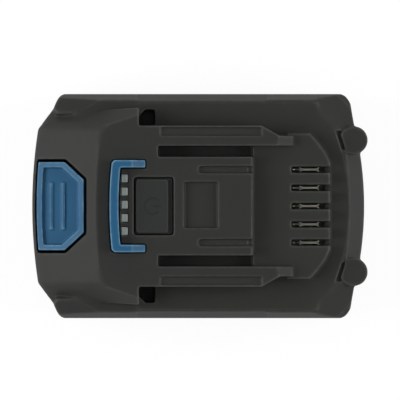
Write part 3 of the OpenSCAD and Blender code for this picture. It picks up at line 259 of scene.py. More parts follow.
def moulded_plastic(name, shade, tint, rubbed_and_highlit, grain_mm, roughness, dent_mm, gloss=0.5):
    """Dyed plastic: drifting colour, eroded grain in roughness and bump; on the outer edges polish, wear and a
    painted highlight.
    """
    material = bpy.data.materials.new(name)
    material.use_nodes = True
    tree = material.node_tree
    surface = tree.nodes["Principled BSDF"]
    place = add(tree, "TexCoord").outputs["Object"]
    drift = add(tree, "TexNoise", {"Vector": place, "Scale": scale_of(DRIFT_MM), "Detail": 3.0})
    grain = add(tree, "TexNoise", {"Vector": place, "Scale": scale_of(grain_mm), "Detail": 2.0})
    scuff = add(tree, "TexNoise", {"Vector": place, "Scale": scale_of(SCUFF_MM), "Detail": 4.0})
    edge = add(tree, "Attribute", attribute_name="rubbed_and_highlit")
    worn_and_highlit = add(tree, "Math", {0: edge.outputs["Fac"], 1: scuff.outputs["Fac"]}, operation="MULTIPLY")
    dye = add(tree, "Mix", {0: drift.outputs["Fac"], 6: linear(shade), 7: linear(tint)}, data_type="RGBA")
    # The outer edges turn paler: partly rubbed wear, partly a painted highlight for the sheen of the rounded
    # edges.
    colour = add(tree, "Mix", {0: worn_and_highlit.outputs[0], 6: dye.outputs[2], 7: linear(rubbed_and_highlit)}, data_type="RGBA")
    rough = add(tree, "MapRange", {"Value": grain.outputs["Fac"], "To Min": roughness - ROUGH_SPREAD,
                                   "To Max": roughness + ROUGH_SPREAD})
    polish = add(tree, "Math", {0: worn_and_highlit.outputs[0], 1: RUB_POLISH, 2: rough.outputs[0]},
                 operation="MULTIPLY_ADD")
    dents = add(tree, "Bump", {"Height": grain.outputs["Fac"], "Distance": dent_mm * MM,
                               "Strength": DENT_STRENGTH})
    tree.links.new(colour.outputs[2], surface.inputs["Base Color"])
    tree.links.new(polish.outputs[0], surface.inputs["Roughness"])
    tree.links.new(dents.outputs[0], surface.inputs["Normal"])
    surface.inputs["IOR"].default_value = 1.5
    surface.inputs["Specular IOR Level"].default_value = gloss
    return material


# Fine sparked grain: a dull charcoal with a broad, weak sheen, paler on the outer edges: partly wear, partly
# painted highlight.
case_nylon = moulded_plastic("spark_eroded_charcoal_nylon", "#242524", "#282926", "#555550",
                             grain_mm=0.45, roughness=0.58, dent_mm=0.02, gloss=0.14)
# Finer grain than the case: a slightly cooler, more even grey, paler on the outer edges: wear with painted
# highlight.
gauge_nylon = moulded_plastic("satin_charcoal_nylon", "#262827", "#292b2a", "#54564f",
                              grain_mm=0.4, roughness=0.55, dent_mm=0.015, gloss=0.1)
# Smooth mould: clear blue with a soft, tighter highlight on its rims, and pale blue painted on the rims as
# wear and painted highlight.
blue_acetal = moulded_plastic("satin_blue_acetal", "#1f4a68", "#224e6d", "#8fb0c4",
                              grain_mm=0.4, roughness=0.42, dent_mm=0.01, gloss=0.09)
# Connector plastic: near black, even.
black_nylon = moulded_plastic("moulded_black_nylon", "#191a19", "#1d1e1d", "#333432",
                              grain_mm=0.4, roughness=0.5, dent_mm=0.015)
# Cell holders: mid grey, coarser grain.
holder_abs = moulded_plastic("moulded_grey_abs", "#3a3e40", "#414548", "#5c6062",
                             grain_mm=0.5, roughness=0.5, dent_mm=0.015)
# Undyed acetal: waxy white.
white_acetal = moulded_plastic("moulded_white_acetal", "#d5d4cc", "#dcdbd4", "#e6e5df",
                               grain_mm=0.4, roughness=0.42, dent_mm=0.01)
# Dipped bead: glossy black resin with soft lumps.
bead_epoxy = moulded_plastic("dipped_black_epoxy", "#1c1a19", "#242120", "#3a3634",
                             grain_mm=0.8, roughness=0.22, dent_mm=0.03)
plastics = (case_nylon, gauge_nylon, blue_acetal, black_nylon, holder_abs, white_acetal, bead_epoxy)
print("plastics:", [plastic.name for plastic in plastics])

# %% [markdown]
# ## Clear resin over the lamps
# The five windows are the ends of one light pipe in polycarbonate. It is frosted, so the lamps under it glow
# evenly, and fine ribs inside spread their light. Seen from outside it is a pale grey that lets some light
# through. The lamps themselves are drops of tinted epoxy.

# %% Window and lamp resins
RIB_MM = 0.9
RIB_TALL = 0.02 * MM
RIB_SWAY = 0.6
RIB_STRENGTH = 0.3
FROST_SPREAD = 0.06


def waves_of(size_mm):
    """Wave texture scale for bands of a real width: a light or dark band spans about 1 / (2 pi) of a unit."""
    return scale_of(size_mm) / (2 * np.pi)


def clear_resin(name, shade, tint, roughness, see_through, ior):
    """Cast or moulded clear plastic: a pale body with faint ribs across X, partly see-through."""
    material = bpy.data.materials.new(name)
    material.use_nodes = True
    tree = material.node_tree
    surface = tree.nodes["Principled BSDF"]
    place = add(tree, "TexCoord").outputs["Object"]
    ribs = add(tree, "TexWave", {"Vector": place, "Scale": waves_of(RIB_MM), "Distortion": RIB_SWAY},
               bands_direction="X")
    haze = add(tree, "TexNoise", {"Vector": place, "Scale": scale_of(SCUFF_MM), "Detail": 2.0})
    body = add(tree, "Mix", {0: ribs.outputs["Fac"], 6: linear(shade), 7: linear(tint)}, data_type="RGBA")
    frost = add(tree, "MapRange", {"Value": haze.outputs["Fac"], "To Min": roughness - FROST_SPREAD,
                                   "To Max": roughness + FROST_SPREAD})
    dents = add(tree, "Bump", {"Height": ribs.outputs["Fac"], "Distance": RIB_TALL,
                               "Strength": RIB_STRENGTH})
    tree.links.new(body.outputs[2], surface.inputs["Base Color"])
    tree.links.new(frost.outputs[0], surface.inputs["Roughness"])
    tree.links.new(dents.outputs[0], surface.inputs["Normal"])
    surface.inputs["Transmission Weight"].default_value = see_through
    surface.inputs["IOR"].default_value = ior
    return material


# Frosted windows: light grey with a soft gleam.
window_resin = clear_resin("frosted_polycarbonate", "#7c847f", "#8b938e",
                           roughness=0.4, see_through=0.08, ior=1.58)
# Lamp bodies: milky green-white drops.
lamp_resin = clear_resin("cast_epoxy_lamp", "#b9c9b4", "#c4d3c0",
                         roughness=0.25, see_through=0.3, ior=1.5)
print("resins:", window_resin.name, lamp_resin.name)

# %% [markdown]
# ## Bare metals
# Rolling, drawing and plating leave fine streaks along one direction. One function makes each metal from two
# close colours, a roughness and the streak's width and direction. The streaks are drawn about ten times
# coarser than real ones, which would vanish at this size.

# %% Worked metal finishes
STREAK_STRETCH = 0.06
STREAK_TALL = 0.008 * MM
STREAK_POLISH = 0.1
STREAK_DULL = 0.12
STREAK_STRENGTH = 0.5
X_AXIS, Z_AXIS = 0, 2


def worked_metal(name, shade, tint, roughness, streak_mm, axis):
    """Bare metal: a stain of colour, and roughness and bump in streaks: noise drawn out along one axis."""
    material = bpy.data.materials.new(name)
    material.use_nodes = True
    tree = material.node_tree
    surface = tree.nodes["Principled BSDF"]
    place = add(tree, "TexCoord").outputs["Object"]
    squeeze = [STREAK_STRETCH if k == axis else 1.0 for k in range(3)]
    along = add(tree, "Mapping", {"Vector": place, "Scale": squeeze})
    streaks = add(tree, "TexNoise", {"Vector": along.outputs[0], "Scale": scale_of(streak_mm), "Detail": 4.0})
    stain = add(tree, "TexNoise", {"Vector": place, "Scale": scale_of(SCUFF_MM), "Detail": 3.0})
    body = add(tree, "Mix", {0: stain.outputs["Fac"], 6: linear(shade), 7: linear(tint)}, data_type="RGBA")
    rough = add(tree, "MapRange", {"Value": streaks.outputs["Fac"], "To Min": roughness - STREAK_POLISH,
                                   "To Max": roughness + STREAK_DULL})
    lines = add(tree, "Bump", {"Height": streaks.outputs["Fac"], "Distance": STREAK_TALL,
                               "Strength": STREAK_STRENGTH})
    tree.links.new(body.outputs[2], surface.inputs["Base Color"])
    tree.links.new(rough.outputs[0], surface.inputs["Roughness"])
    tree.links.new(lines.outputs[0], surface.inputs["Normal"])
    surface.inputs["Metallic"].default_value = 1.0
    return material


# Tinned spring bronze: a pale, slightly warm mirror, dulled by wiping.
tinned_bronze = worked_metal("tinned_spring_bronze", "#e2dfd6", "#d2cec2",
                             roughness=0.36, streak_mm=0.25, axis=Z_AXIS)
# Zinc plate: cool grey with a faint bloom.
zinc_steel = worked_metal("zinc_plated_steel", "#b4b8bb", "#9fa4a8",
                          roughness=0.36, streak_mm=0.3, axis=Z_AXIS)
# Drawn music wire: dark and bright lines along the wire.
drawn_wire = worked_metal("drawn_spring_steel", "#8d9092", "#75787a",
                          roughness=0.3, streak_mm=0.15, axis=Z_AXIS)
# Rolled nickel: warm silver with long rolling lines.
rolled_nickel = worked_metal("rolled_nickel_strip", "#bdb8ad", "#aaa498",
                             roughness=0.34, streak_mm=0.3, axis=X_AXIS)
# Resistor alloy: dull copper brown.
shunt_alloy = worked_metal("rolled_copper_manganese", "#a5785c", "#93694f",
                           roughness=0.4, streak_mm=0.3, axis=X_AXIS)
print("metals:", [m.name for m in (tinned_bronze, zinc_steel, drawn_wire, rolled_nickel, shunt_alloy)])

# %% [markdown]
# ## Paper, foam and boards
# Fish paper insulates the cell ends, foam pads stop the pack from rattling, and glass-epoxy boards carry the
# circuit under green lacquer. Paper shows fibres, foam shows cells, and a board shows its copper tracks as a
# slightly lighter green. Chip parts are tan ceramic. Fibres and grains are drawn coarser than real ones,
# which would not show.

# %% Paper, foam and ceramic finishes
FIBRE_SPREAD = 0.07
LUMP_STRENGTH = 0.6


def pressed_sheet(name, shade, tint, spot_mm, roughness, lump_mm):
    """Paper, foam or ceramic: hollows of one size, and a fibrous drift of colour and roughness over them."""
    material = bpy.data.materials.new(name)
    material.use_nodes = True
    tree = material.node_tree
    surface = tree.nodes["Principled BSDF"]
    place = add(tree, "TexCoord").outputs["Object"]
    spots = add(tree, "TexVoronoi", {"Vector": place, "Scale": scale_of(spot_mm)}, feature="F1")
    fibres = add(tree, "TexNoise", {"Vector": place, "Scale": scale_of(2 * spot_mm), "Detail": 5.0})
    body = add(tree, "Mix", {0: fibres.outputs["Fac"], 6: linear(shade), 7: linear(tint)}, data_type="RGBA")
    rough = add(tree, "MapRange", {"Value": fibres.outputs["Fac"], "To Min": roughness - FIBRE_SPREAD,
                                   "To Max": roughness + FIBRE_SPREAD})
    lumps = add(tree, "Bump", {"Height": spots.outputs["Distance"], "Distance": lump_mm * MM,
                               "Strength": LUMP_STRENGTH})
    tree.links.new(body.outputs[2], surface.inputs["Base Color"])
    tree.links.new(rough.outputs[0], surface.inputs["Roughness"])
    tree.links.new(lumps.outputs[0], surface.inputs["Normal"])
    return material


# Fish paper: matt buff with short fibres.
fish_paper = pressed_sheet("pressed_fish_paper", "#c9c3ad", "#b8b29a",
                           spot_mm=0.5, roughness=0.8, lump_mm=0.02)
# Punched rings: whiter and smoother paper.
ring_paper = pressed_sheet("punched_white_paper", "#d9d6ca", "#cbc8ba",
                           spot_mm=0.4, roughness=0.8, lump_mm=0.015)
# Cut foam: dull charcoal with open cells that catch no light.
black_foam = pressed_sheet("cut_polyurethane_foam", "#2a2a2b", "#363637",
                           spot_mm=0.7, roughness=0.95, lump_mm=0.15)
# Fired chips: tan with a slight gloss.
chip_ceramic = pressed_sheet("fired_tan_ceramic", "#a58d6d", "#937b5c",
                             spot_mm=0.3, roughness=0.45, lump_mm=0.01)
print("sheets:", [sheet.name for sheet in (fish_paper, ring_paper, black_foam, chip_ceramic)])

# %% Circuit board finish
TRACK_MM = 1.6
TRACK_TALL = 0.035 * MM
TRACK_SHARE = 0.62
TRACK_STRENGTH = 0.7
CELL_TRACKS = 6
LACQUER_ROUGHNESS = 0.32


def lacquered_board(name, lacquer, track):
    """Circuit board: bands of copper under lacquer, along X in some cells and along Y in the others."""
    material = bpy.data.materials.new(name)
    material.use_nodes = True
    tree = material.node_tree
    surface = tree.nodes["Principled BSDF"]
    place = add(tree, "TexCoord").outputs["Object"]
    along_x = add(tree, "TexWave", {"Vector": place, "Scale": waves_of(TRACK_MM)}, bands_direction="X")
    along_y = add(tree, "TexWave", {"Vector": place, "Scale": waves_of(TRACK_MM)}, bands_direction="Y")
    cells = add(tree, "TexVoronoi", {"Vector": place, "Scale": scale_of(CELL_TRACKS * TRACK_MM)},
                distance="CHEBYCHEV")
    parts = add(tree, "SeparateColor", {"Color": cells.outputs["Color"]})
    choice = add(tree, "Math", {0: parts.outputs[0], 1: 0.5}, operation="GREATER_THAN")
    bands = add(tree, "Mix", {0: choice.outputs[0], 2: along_x.outputs["Fac"], 3: along_y.outputs["Fac"]})
    copper = add(tree, "Math", {0: bands.outputs[0], 1: TRACK_SHARE}, operation="GREATER_THAN")
    body = add(tree, "Mix", {0: copper.outputs[0], 6: linear(lacquer), 7: linear(track)}, data_type="RGBA")
    raised = add(tree, "Bump", {"Height": copper.outputs[0], "Distance": TRACK_TALL,
                                "Strength": TRACK_STRENGTH})
    tree.links.new(body.outputs[2], surface.inputs["Base Color"])
    tree.links.new(raised.outputs[0], surface.inputs["Normal"])
    surface.inputs["Roughness"].default_value = LACQUER_ROUGHNESS
    return material


# Lacquered board: dark green gloss with lighter tracks standing slightly proud.
green_board = lacquered_board("lacquered_glass_epoxy", "#164a30", "#22653f")
print("board:", green_board.name)

# %% [markdown]
# ## Rounded edges on moulded pieces
# No mould leaves a knife edge: every outer edge and every inner corner has a small radius. Blender's bevel
# can round edges one by one, but it tangles where many of them meet on a part as busy as this one. A fine
# grid rounds them all at once. A copy of the solid is laid on a grid of voxels a third of a millimetre wide,
# its points are drawn towards their neighbours a few times, which turns each edge into an arc about as wide
# as the passes reach, and then flat areas are thinned to fewer triangles.

# %% Smoothing by neighbours
PULL = 0.5


def smoothed(points, edges, passes, share):
    """Laplacian smoothing: in each pass a point moves half of its share of the way to its neighbours' mean.

    Points whose share is 0 stay, so only the neighbours of the others are added up."""
    moving = np.flatnonzero(share > 0)
    rank = np.full(len(points), -1)
    rank[moving] = np.arange(len(moving))
    here = np.concatenate([edges[:, 0], edges[:, 1]])
    there = np.concatenate([edges[:, 1], edges[:, 0]])
    there = there[rank[here] >= 0]
    here = rank[here][rank[here] >= 0]
    count = np.bincount(here, minlength=len(moving))[:, None]
    points = points.copy()
    for _ in range(passes):
        total = np.stack([np.bincount(here, points[there, axis], len(moving)) for axis in range(3)], axis=1)
        points[moving] += PULL * share[moving, None] * (total / count - points[moving])
    return points


def mesh_arrays(mesh):
    """A mesh's points in mm, and its edges as pairs of point numbers."""
    points = np.zeros(3 * len(mesh.vertices))
    mesh.vertices.foreach_get("co", points)
    edges = np.zeros(2 * len(mesh.edges), np.int32)
    mesh.edges.foreach_get("vertices", edges)
    return points.reshape(-1, 3) / MM, edges.reshape(-1, 2)


print("each pass pulls a point by", PULL)

# %% Moulded copies
WELD = 0.002 * MM
BEND_SCALE = 6.0


def applied(piece):
    """Gives a piece the mesh that its modifiers make, and takes the modifiers away."""
    graph = bpy.context.evaluated_depsgraph_get()
    finished = bpy.data.meshes.new_from_object(piece.evaluated_get(graph))
    piece.modifiers.clear()
    before = piece.data
    piece.data = finished
    bpy.data.meshes.remove(before)
    finished.name = piece.name


def moulded_copy(node, name, voxel_mm, passes, keep, softer=None, soft_passes=0):
    """A copy of a solid on a voxel grid, with edges rounded by smoothing passes and flats thinned to a share.

    softer(points) gives the share, from 0 to 1, that each point takes of some further passes."""
    bm = bmesh.new()
    bm.from_mesh(nodes[node].data)
    bmesh.ops.remove_doubles(bm, verts=bm.verts, dist=WELD)
    mesh = bpy.data.meshes.new(name)
    bm.to_mesh(mesh)
    bm.free()
    piece = bpy.data.objects.new(name, mesh)
    scene.collection.objects.link(piece)
    grid = piece.modifiers.new("grid", "REMESH")
    grid.mode = "VOXEL"
    grid.voxel_size = voxel_mm * MM
    grid.use_smooth_shade = True
    applied(piece)
    points, edges = mesh_arrays(piece.data)
    points = smoothed(points, edges, passes, np.ones(len(points)))
    if softer:
        points = smoothed(points, edges, soft_passes, softer(points))
    piece.data.vertices.foreach_set("co", (points * MM).ravel())
    piece.data.update()
    thin = piece.modifiers.new("thin", "DECIMATE")
    thin.ratio = keep
    flats = piece.modifiers.new("flats", "WEIGHTED_NORMAL")
    flats.mode = "FACE_AREA"
    flats.keep_sharp = True
    applied(piece)
    mark_rubbed_and_highlit(piece.data)
    return piece


def mark_rubbed_and_highlit(mesh):
    """Writes the edge attribute: how far each point stands out from its neighbours, 1 on the outer edges.

    The materials paint wear and a painted highlight there. The mean slope from a point to its neighbours,
    against its normal, is 0 on flats and positive on edges."""
    points, edges = mesh_arrays(mesh)
    normals = np.zeros(3 * len(points))
    mesh.vertices.foreach_get("normal", normals)
    normals = normals.reshape(-1, 3)
    step = points[edges[:, 1]] - points[edges[:, 0]]
    step /= np.linalg.norm(step, axis=1)[:, None] + 1e-9
    leaving = -(normals[edges[:, 0]] * step).sum(axis=1)
    arriving = (normals[edges[:, 1]] * step).sum(axis=1)
    drop = np.concatenate([leaving, arriving])
    here = np.concatenate([edges[:, 0], edges[:, 1]])
    bend = np.bincount(here, drop, len(points)) / np.maximum(np.bincount(here, minlength=len(points)), 1)
    rubbed_and_highlit = mesh.attributes.new("rubbed_and_highlit", "FLOAT", "POINT")
    rubbed_and_highlit.data.foreach_set("value", np.clip(BEND_SCALE * bend, 0, 1))


def dress(piece, node, material):
    """Gives a piece its finish and puts it in the place of a solid, on the same body."""
    piece.data.materials.clear()
    piece.data.materials.append(material)
    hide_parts(node)
    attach(piece, body_of[node])
    print(piece.name, "replaces", node, "with", len(piece.data.polygons), "faces")
    return piece


behaviour = frame["record"]["behaviour"]
body_of = {node: body for body, members in behaviour["bodies"].items() for node in members}
slot_of = {part["node"]: part["material_slot"] for part in frame["record"]["subparts"]}

# %% [markdown]
# ## The two case halves
# The lower half is a tub. The upper half is a lid with a sloping nose, rails, a terminal table, a row of
# slots and sloping corners. Most of its edges are crisp, because they guide the tool. The creases beside the
# nose and the bevels at the rear corners were drawn softer: they run out over several millimetres, so the
# points there get many more passes, fading out towards the crisp edges around them.

# %% Case halves
CREASE_Y = 28.4
CREASE_WIDE = 7.0
CREASE_END_X = -33.0
CORNER_X = 41.0
CORNER_Y = 27.0
CORNER_SHARE = 0.5
FADE = 4.0
SOFT_Z = 49.0
SOFT_PASSES = 160


def fade_in(distance):
    """0 below zero, 1 beyond the fade length, and an even rise between them."""
    return np.clip(distance / FADE, 0, 1)


def soft_zones(points):
    """The share of the soft passes: 1 along the creases beside the nose, less at the rear corners.

    It fades to 0 around both, and down towards the seam."""
    x, y, z = points[:, 0], np.abs(points[:, 1]), points[:, 2]
    crease = np.clip(1 - np.abs(y - CREASE_Y) / CREASE_WIDE, 0, 1) * fade_in(CREASE_END_X - x)
    corner = fade_in(x - CORNER_X) * fade_in(y - CORNER_Y)
    return np.maximum(crease, CORNER_SHARE * corner) * fade_in(z - SOFT_Z)


lower_shell = moulded_copy("lower_case", "lower_shell", voxel_mm=0.4, passes=3, keep=0.2)
dress(lower_shell, "lower_case", case_nylon)
upper_shell = moulded_copy("upper_case", "upper_shell", voxel_mm=0.3, passes=6, keep=0.2,
                           softer=soft_zones, soft_passes=SOFT_PASSES)
dress(upper_shell, "upper_case", case_nylon)

# %% [markdown]
# ## Latch and gauge
# The cap and the C-shaped hook are one moving group in blue. A finger presses the dish in the cap, and the
# hook sinks out of the tool's rib. The gauge button lies nearly flush in its recess, with a low step on the
# side away from the lamps. They are small, so their grids are finer.

# %% Latch and gauge pieces
cap = moulded_copy("release_button", "release_cap", voxel_mm=0.2, passes=16, keep=0.3)
dress(cap, "release_button", blue_acetal)
hook = moulded_copy("latch_slider", "latch_hook", voxel_mm=0.22, passes=8, keep=0.3)
dress(hook, "latch_slider", blue_acetal)
gauge = moulded_copy("gauge_button", "gauge_face", voxel_mm=0.2, passes=4, keep=0.3)
dress(gauge, "gauge_button", gauge_nylon)

# %% [markdown]
# ## Windows
# The light pipe's five ends fill their openings almost to the top, with soft corners.

# %% Window pieces
windows = moulded_copy("light_pipe", "light_pipe_windows", voxel_mm=0.15, passes=8, keep=0.3)
dress(windows, "light_pipe", window_resin)

# %% [markdown]
# ## The power mark
# A faint, dark power sign is printed on the gauge button: an open ring and a bar. A print stands a few
# hundredths of a millimetre proud. Each stroke is one profile, a low dome, carried along a path.

# %% Printed strokes
MARK_CENTRE = (-16.7, 0.0)
MARK_RADIUS = 2.8
MARK_GAP = 42.0
MARK_BAR = 2.8
STROKE_WIDE = 0.62
STROKE_TALL = 0.05
STROKE_SIDES = 12
RING_STEPS = 48
BAR_STEPS = 8


def surface_of(name, grid, around=False, close_ends=False):
    """A mesh through a grid of points: rows along one parameter, columns along the other, joined by quads.

    around joins the last column to the first, and close_ends puts a face on the first and the last row."""
    rows, columns = grid.shape[:2]
    number = np.arange(rows * columns).reshape(rows, columns)
    beside = np.roll(number, -1, axis=1)
    last = columns if around else columns - 1
    corners = np.stack([number[:-1], beside[:-1], beside[1:], number[1:]], axis=2)
    quads = corners[:, :last].reshape(-1, 4).tolist()
    if close_ends:
        quads += [number[0][::-1].tolist(), number[-1].tolist()]
    mesh = bpy.data.meshes.new(name)
    mesh.from_pydata((grid.reshape(-1, 3) * MM).tolist(), [], quads)
    mesh.shade_smooth()
    piece = bpy.data.objects.new(name, mesh)
    scene.collection.objects.link(piece)
    return piece


def stroke(name, path, z):
    """A printed line: an ellipse, wide and low, half sunk in the face and carried along a level path."""
    ahead = np.gradient(path, axis=0)
    ahead /= np.linalg.norm(ahead, axis=1)[:, None]
    side = np.stack([-ahead[:, 1], ahead[:, 0]], axis=1)
    turn = np.linspace(0, 2 * np.pi, STROKE_SIDES + 1)[:-1]
    across = np.cos(turn) * STROKE_WIDE / 2
    up = np.sin(turn) * STROKE_TALL
    level = path[:, None] + side[:, None] * across[None, :, None]
    height = np.broadcast_to(z + up, level.shape[:2])
    return surface_of(name, np.concatenate([level, height[:, :, None]], axis=2), around=True, close_ends=True)


# Printed ink: a matt near black that shows as a faint sign on the button.
mark_ink = moulded_plastic("printed_dark_ink", "#1a1c1a", "#1d1f1d", "#1f211f",
                           grain_mm=0.4, roughness=0.6, dent_mm=0.005, gloss=0.2)
face_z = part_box("gauge_button")[1].z / MM
turn = np.radians(np.linspace(MARK_GAP, 360 - MARK_GAP, RING_STEPS + 1))
ring = np.stack([
    MARK_CENTRE[0] + MARK_RADIUS * np.cos(turn), MARK_CENTRE[1] + MARK_RADIUS * np.sin(turn),
], axis=1)
reach = np.linspace(0, MARK_BAR, BAR_STEPS + 1)
bar = np.stack([MARK_CENTRE[0] + reach, np.full(BAR_STEPS + 1, MARK_CENTRE[1])], axis=1)
for name, path in (("power_mark_ring", ring), ("power_mark_bar", bar)):
    mark = stroke(name, path, face_z)
    mark.data.materials.append(mark_ink)
    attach(mark, "gauge")
    print(name, len(mark.data.polygons), "faces")

# %% [markdown]
# ## Springs
# Two compression springs push the latch up. Drawn wire is wound into a helix: the wire's round section is
# carried along it. The end turns lie closer than the others, as on any spring that has to stand straight.

# %% Latch springs
SPRING_RADIUS = 2.85
WIRE_RADIUS = 0.35
TURNS = 6
TURN_STEPS = 32
WIRE_SIDES = 12
END_CLOSENESS = 0.28


def wound_spring(name, centre, low, high):
    """A helix of round wire: angle grows evenly, height is a smooth step blended with a straight climb."""
    share = np.linspace(0, 1, TURNS * TURN_STEPS + 1)
    turn = 2 * np.pi * TURNS * share
    climb = (1 - END_CLOSENESS) * share + END_CLOSENESS * share * share * (3 - 2 * share)
    path = np.stack([
        centre[0] + SPRING_RADIUS * np.cos(turn), centre[1] + SPRING_RADIUS * np.sin(turn),
        low + WIRE_RADIUS + (high - low - 2 * WIRE_RADIUS) * climb,
    ], axis=1)
    ahead = np.gradient(path, axis=0)
    ahead /= np.linalg.norm(ahead, axis=1)[:, None]
    out = np.stack([np.cos(turn), np.sin(turn), 0 * turn], axis=1)
    up = np.cross(ahead, out)
    around = np.linspace(0, 2 * np.pi, WIRE_SIDES + 1)[:-1]
    ring = out[:, None] * np.cos(around)[None, :, None] + up[:, None] * np.sin(around)[None, :, None]
    return surface_of(name, path[:, None] + WIRE_RADIUS * ring, around=True, close_ends=True)


for side in ("left", "right"):
    node = "latch_spring_" + side
    low, high = [np.array(corner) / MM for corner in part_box(node)]
    middle = (low + high) / 2
    spring = dress(wound_spring("wound_spring_" + side, middle[:2], low[2], high[2]), node, drawn_wire)
    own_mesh(spring)

# %% [markdown]
# ## Cells
# A cell is a drawn steel can with a groove rolled in near its positive end, crimped over a cap and wrapped in
# a shrunk sleeve. Every outline is round, so one profile turned about the cell's axis makes the whole cell.
# The sleeve covers the wall and folds a little way over both ends.

# %% Turned cells
# Radius and distance from the negative end, in mm: end disc, wall, rolled groove, crimp, ring and cap.
CELL_PROFILE = np.array([
    (0, 0), (7.7, 0), (8.5, 0.08), (8.95, 0.35), (9.13, 0.8), (9.13, 61.4), (8.98, 61.8), (8.72, 62.2),
    (8.72, 62.7), (8.98, 63.1), (9.13, 63.5), (9.1, 64.0), (8.85, 64.4), (8.3, 64.65), (7.2, 64.68),
    (4.9, 64.68), (4.55, 64.72), (4.46, 64.9), (4.42, 65.1), (4.2, 65.19), (0, 65.2),
])
SLEEVE_FROM, SLEEVE_TO = 2, 14
SLEEVE_SMOOTH, SLEEVE_DULL = 0.28, 0.4
CELL_SIDES = 64
COLUMN_PITCH = 18.9


def turned_cell(name, centre, facing):
    """The profile (r, t) turned about Y: x = r sin a, z = r cos a, and y runs from end to end, cap last."""
    turn = np.linspace(0, 2 * np.pi, CELL_SIDES + 1)[:-1] * facing
    radius, along = CELL_PROFILE[:, :1], CELL_PROFILE[:, 1:]
    end_to_end = np.broadcast_to(facing * (along - along[-1] / 2), (len(along), CELL_SIDES))
    grid = np.stack([
        centre[0] + radius * np.sin(turn), end_to_end, centre[2] + radius * np.cos(turn),
    ], axis=2)
    piece = surface_of(name, grid, around=True)
    wrapped = np.zeros((len(along), CELL_SIDES))
    wrapped[SLEEVE_FROM:SLEEVE_TO] = 1
    piece.data.attributes.new("wrapped", "FLOAT", "POINT").data.foreach_set("value", wrapped.ravel())
    bm = bmesh.new()
    bm.from_mesh(piece.data)
    bmesh.ops.remove_doubles(bm, verts=bm.verts, dist=WELD)
    bm.to_mesh(piece.data)
    bm.free()
    return piece


def sleeved_can(name, sleeve, drift, can):
    """Steel where the attribute wrapped is 0, a shrunk sleeve with a slow drift of colour where it is 1."""
    material = bpy.data.materials.new(name)
    material.use_nodes = True
    tree = material.node_tree
    surface = tree.nodes["Principled BSDF"]
    place = add(tree, "TexCoord").outputs["Object"]
    wrapped = add(tree, "Attribute", attribute_name="wrapped").outputs["Fac"]
    edge = add(tree, "Math", {0: wrapped, 1: 0.5}, operation="GREATER_THAN").outputs[0]
    cloud = add(tree, "TexNoise", {"Vector": place, "Scale": scale_of(DRIFT_MM), "Detail": 3.0})
    dye = add(tree, "Mix", {0: cloud.outputs["Fac"], 6: linear(sleeve), 7: linear(drift)}, data_type="RGBA")
    body = add(tree, "Mix", {0: edge, 6: linear(can), 7: dye.outputs[2]}, data_type="RGBA")
    bare = add(tree, "Math", {0: 1.0, 1: edge}, operation="SUBTRACT")
    rough = add(tree, "MapRange", {"Value": cloud.outputs["Fac"], "To Min": SLEEVE_SMOOTH,
                                   "To Max": SLEEVE_DULL})
    tree.links.new(body.outputs[2], surface.inputs["Base Color"])
    tree.links.new(bare.outputs[0], surface.inputs["Metallic"])
    tree.links.new(rough.outputs[0], surface.inputs["Roughness"])
    return material


# Shrunk sleeve over plated steel: satin sea green, with bright metal at both ends.
cell_finish = sleeved_can("shrunk_sleeve_on_plated_steel", "#3d6f68", "#467a72", "#bcbcb8")
cell_nodes = [name for name in sorted(nodes) if slot_of[name] == "cell_can"]
first_x = min((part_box(name)[0].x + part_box(name)[1].x) / 2 for name in cell_nodes) / MM
for name in cell_nodes:
    low, high = [np.array(corner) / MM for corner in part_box(name)]
    centre = (low + high) / 2
    column = round((centre[0] - first_x) / COLUMN_PITCH)
    dress(turned_cell("turned_" + name, centre, 1 if column % 2 == 0 else -1), name, cell_finish)

# %% [markdown]
# ## Contacts
# Each terminal is stamped from tinned bronze: two leaves run close together along most of their length, to
# grip a blade, and flare at both ends, so that it can enter. A foot joins them, with a short post behind the
# leaves. A leaf is a thin, tall section carried along a curve, so one function makes leaves, foot and post.

# %% Terminal contacts
LEAF_HALF_THICK = 0.17
LEAF_GRIP = 0.2
LEAF_MOUTH = 0.75
LEAF_FLARE = 8
LEAF_BACK = 2.6
POST_RADIUS = 0.4
POST_LOW = 0.8
FOOT_TALL = 0.6
SECTION_SQUARE = 0.35
SECTION_SIDES = 16
LEAF_STEPS = 32
FOOT_STEPS = 4


def stamped_bar(path, half_wide, low, high):
    """A section with soft corners, a superellipse, carried along a level path from one height to another."""
    ahead = np.gradient(path, axis=0)
    ahead /= np.linalg.norm(ahead, axis=1)[:, None]
    side = np.stack([-ahead[:, 1], ahead[:, 0]], axis=1)
    turn = np.linspace(0, 2 * np.pi, SECTION_SIDES + 1)[:-1]
    across = half_wide * np.sign(np.cos(turn)) * np.abs(np.cos(turn)) ** SECTION_SQUARE
    up = (high - low) / 2 * np.sign(np.sin(turn)) * np.abs(np.sin(turn)) ** SECTION_SQUARE
    level = path[:, None] + side[:, None] * across[None, :, None]
    height = np.broadcast_to((low + high) / 2 + up, level.shape[:2])
    return np.concatenate([level, height[:, :, None]], axis=2)


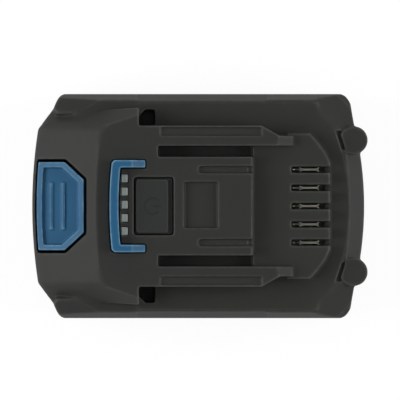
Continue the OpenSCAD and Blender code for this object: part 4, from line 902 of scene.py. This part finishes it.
def formed_contact(name, low, high):
    """Two leaves on a foot with a post. A leaf is y = grip + (mouth - grip) |t|^flare, t from -1 to 1."""
    share = np.linspace(-1, 1, LEAF_STEPS + 1)
    middle_y = (low[1] + high[1]) / 2
    leaf_from = low[0] + LEAF_BACK
    leaf_x = leaf_from + (high[0] - leaf_from) * (share + 1) / 2
    leaf_y = LEAF_GRIP + (LEAF_MOUTH - LEAF_GRIP) * np.abs(share) ** LEAF_FLARE
    foot_x = np.linspace(low[0], high[0], FOOT_STEPS + 1)
    post_x = np.linspace(low[0], low[0] + 2 * POST_RADIUS, FOOT_STEPS + 1)
    leaves = [np.stack([leaf_x, middle_y + sign * leaf_y], axis=1) for sign in (-1, 1)]
    bars = [stamped_bar(leaf, LEAF_HALF_THICK, low[2], high[2]) for leaf in leaves]
    for along, top in ((foot_x, low[2] + FOOT_TALL), (post_x, high[2] - POST_LOW)):
        bars.append(stamped_bar(np.stack([along, 0 * along + middle_y], axis=1), POST_RADIUS, low[2], top))
    parts = [surface_of(name + "_bar", bar, around=True, close_ends=True) for bar in bars]
    bm = bmesh.new()
    for part in parts:
        bm.from_mesh(part.data)
    mesh = bpy.data.meshes.new(name)
    bm.to_mesh(mesh)
    bm.free()
    for part in parts:
        bpy.data.meshes.remove(part.data)
    piece = bpy.data.objects.new(name, mesh)
    scene.collection.objects.link(piece)
    return piece


for node in sorted(nodes):
    if slot_of[node] == "contact_alloy":
        low, high = [np.array(corner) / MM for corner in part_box(node)]
        dress(formed_contact("formed_" + node, low, high), node, tinned_bronze)

# %% [markdown]
# ## The other solids
# Boards, strips, screws and pads keep the shapes of their solids. Each takes the finish of its material slot.

# %% Finishes by slot
finish_of = {
    "screw_steel": zinc_steel, "black_plastic": black_nylon, "plunger_plastic": white_acetal,
    "circuit_laminate": green_board, "lamp_resin": lamp_resin, "shunt_alloy": shunt_alloy,
    "chip_ceramic": chip_ceramic, "thermistor_epoxy": bead_epoxy, "holder_plastic": holder_abs,
    "ring_paper": ring_paper, "nickel_strip": rolled_nickel, "barley_paper": fish_paper, "foam": black_foam,
}
for name, solid in nodes.items():
    finish = finish_of.get(slot_of[name])
    if finish:
        solid.data.materials.clear()
        solid.data.materials.append(finish)
print("finishes by slot:", len(finish_of))

# %% Sizes and the end
visual_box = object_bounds()
grown = [[round((v - c) / MM, 2) for c, v in zip(*pair)] for pair in zip(cad_box, visual_box)]
print("grown by", grown, "mm")
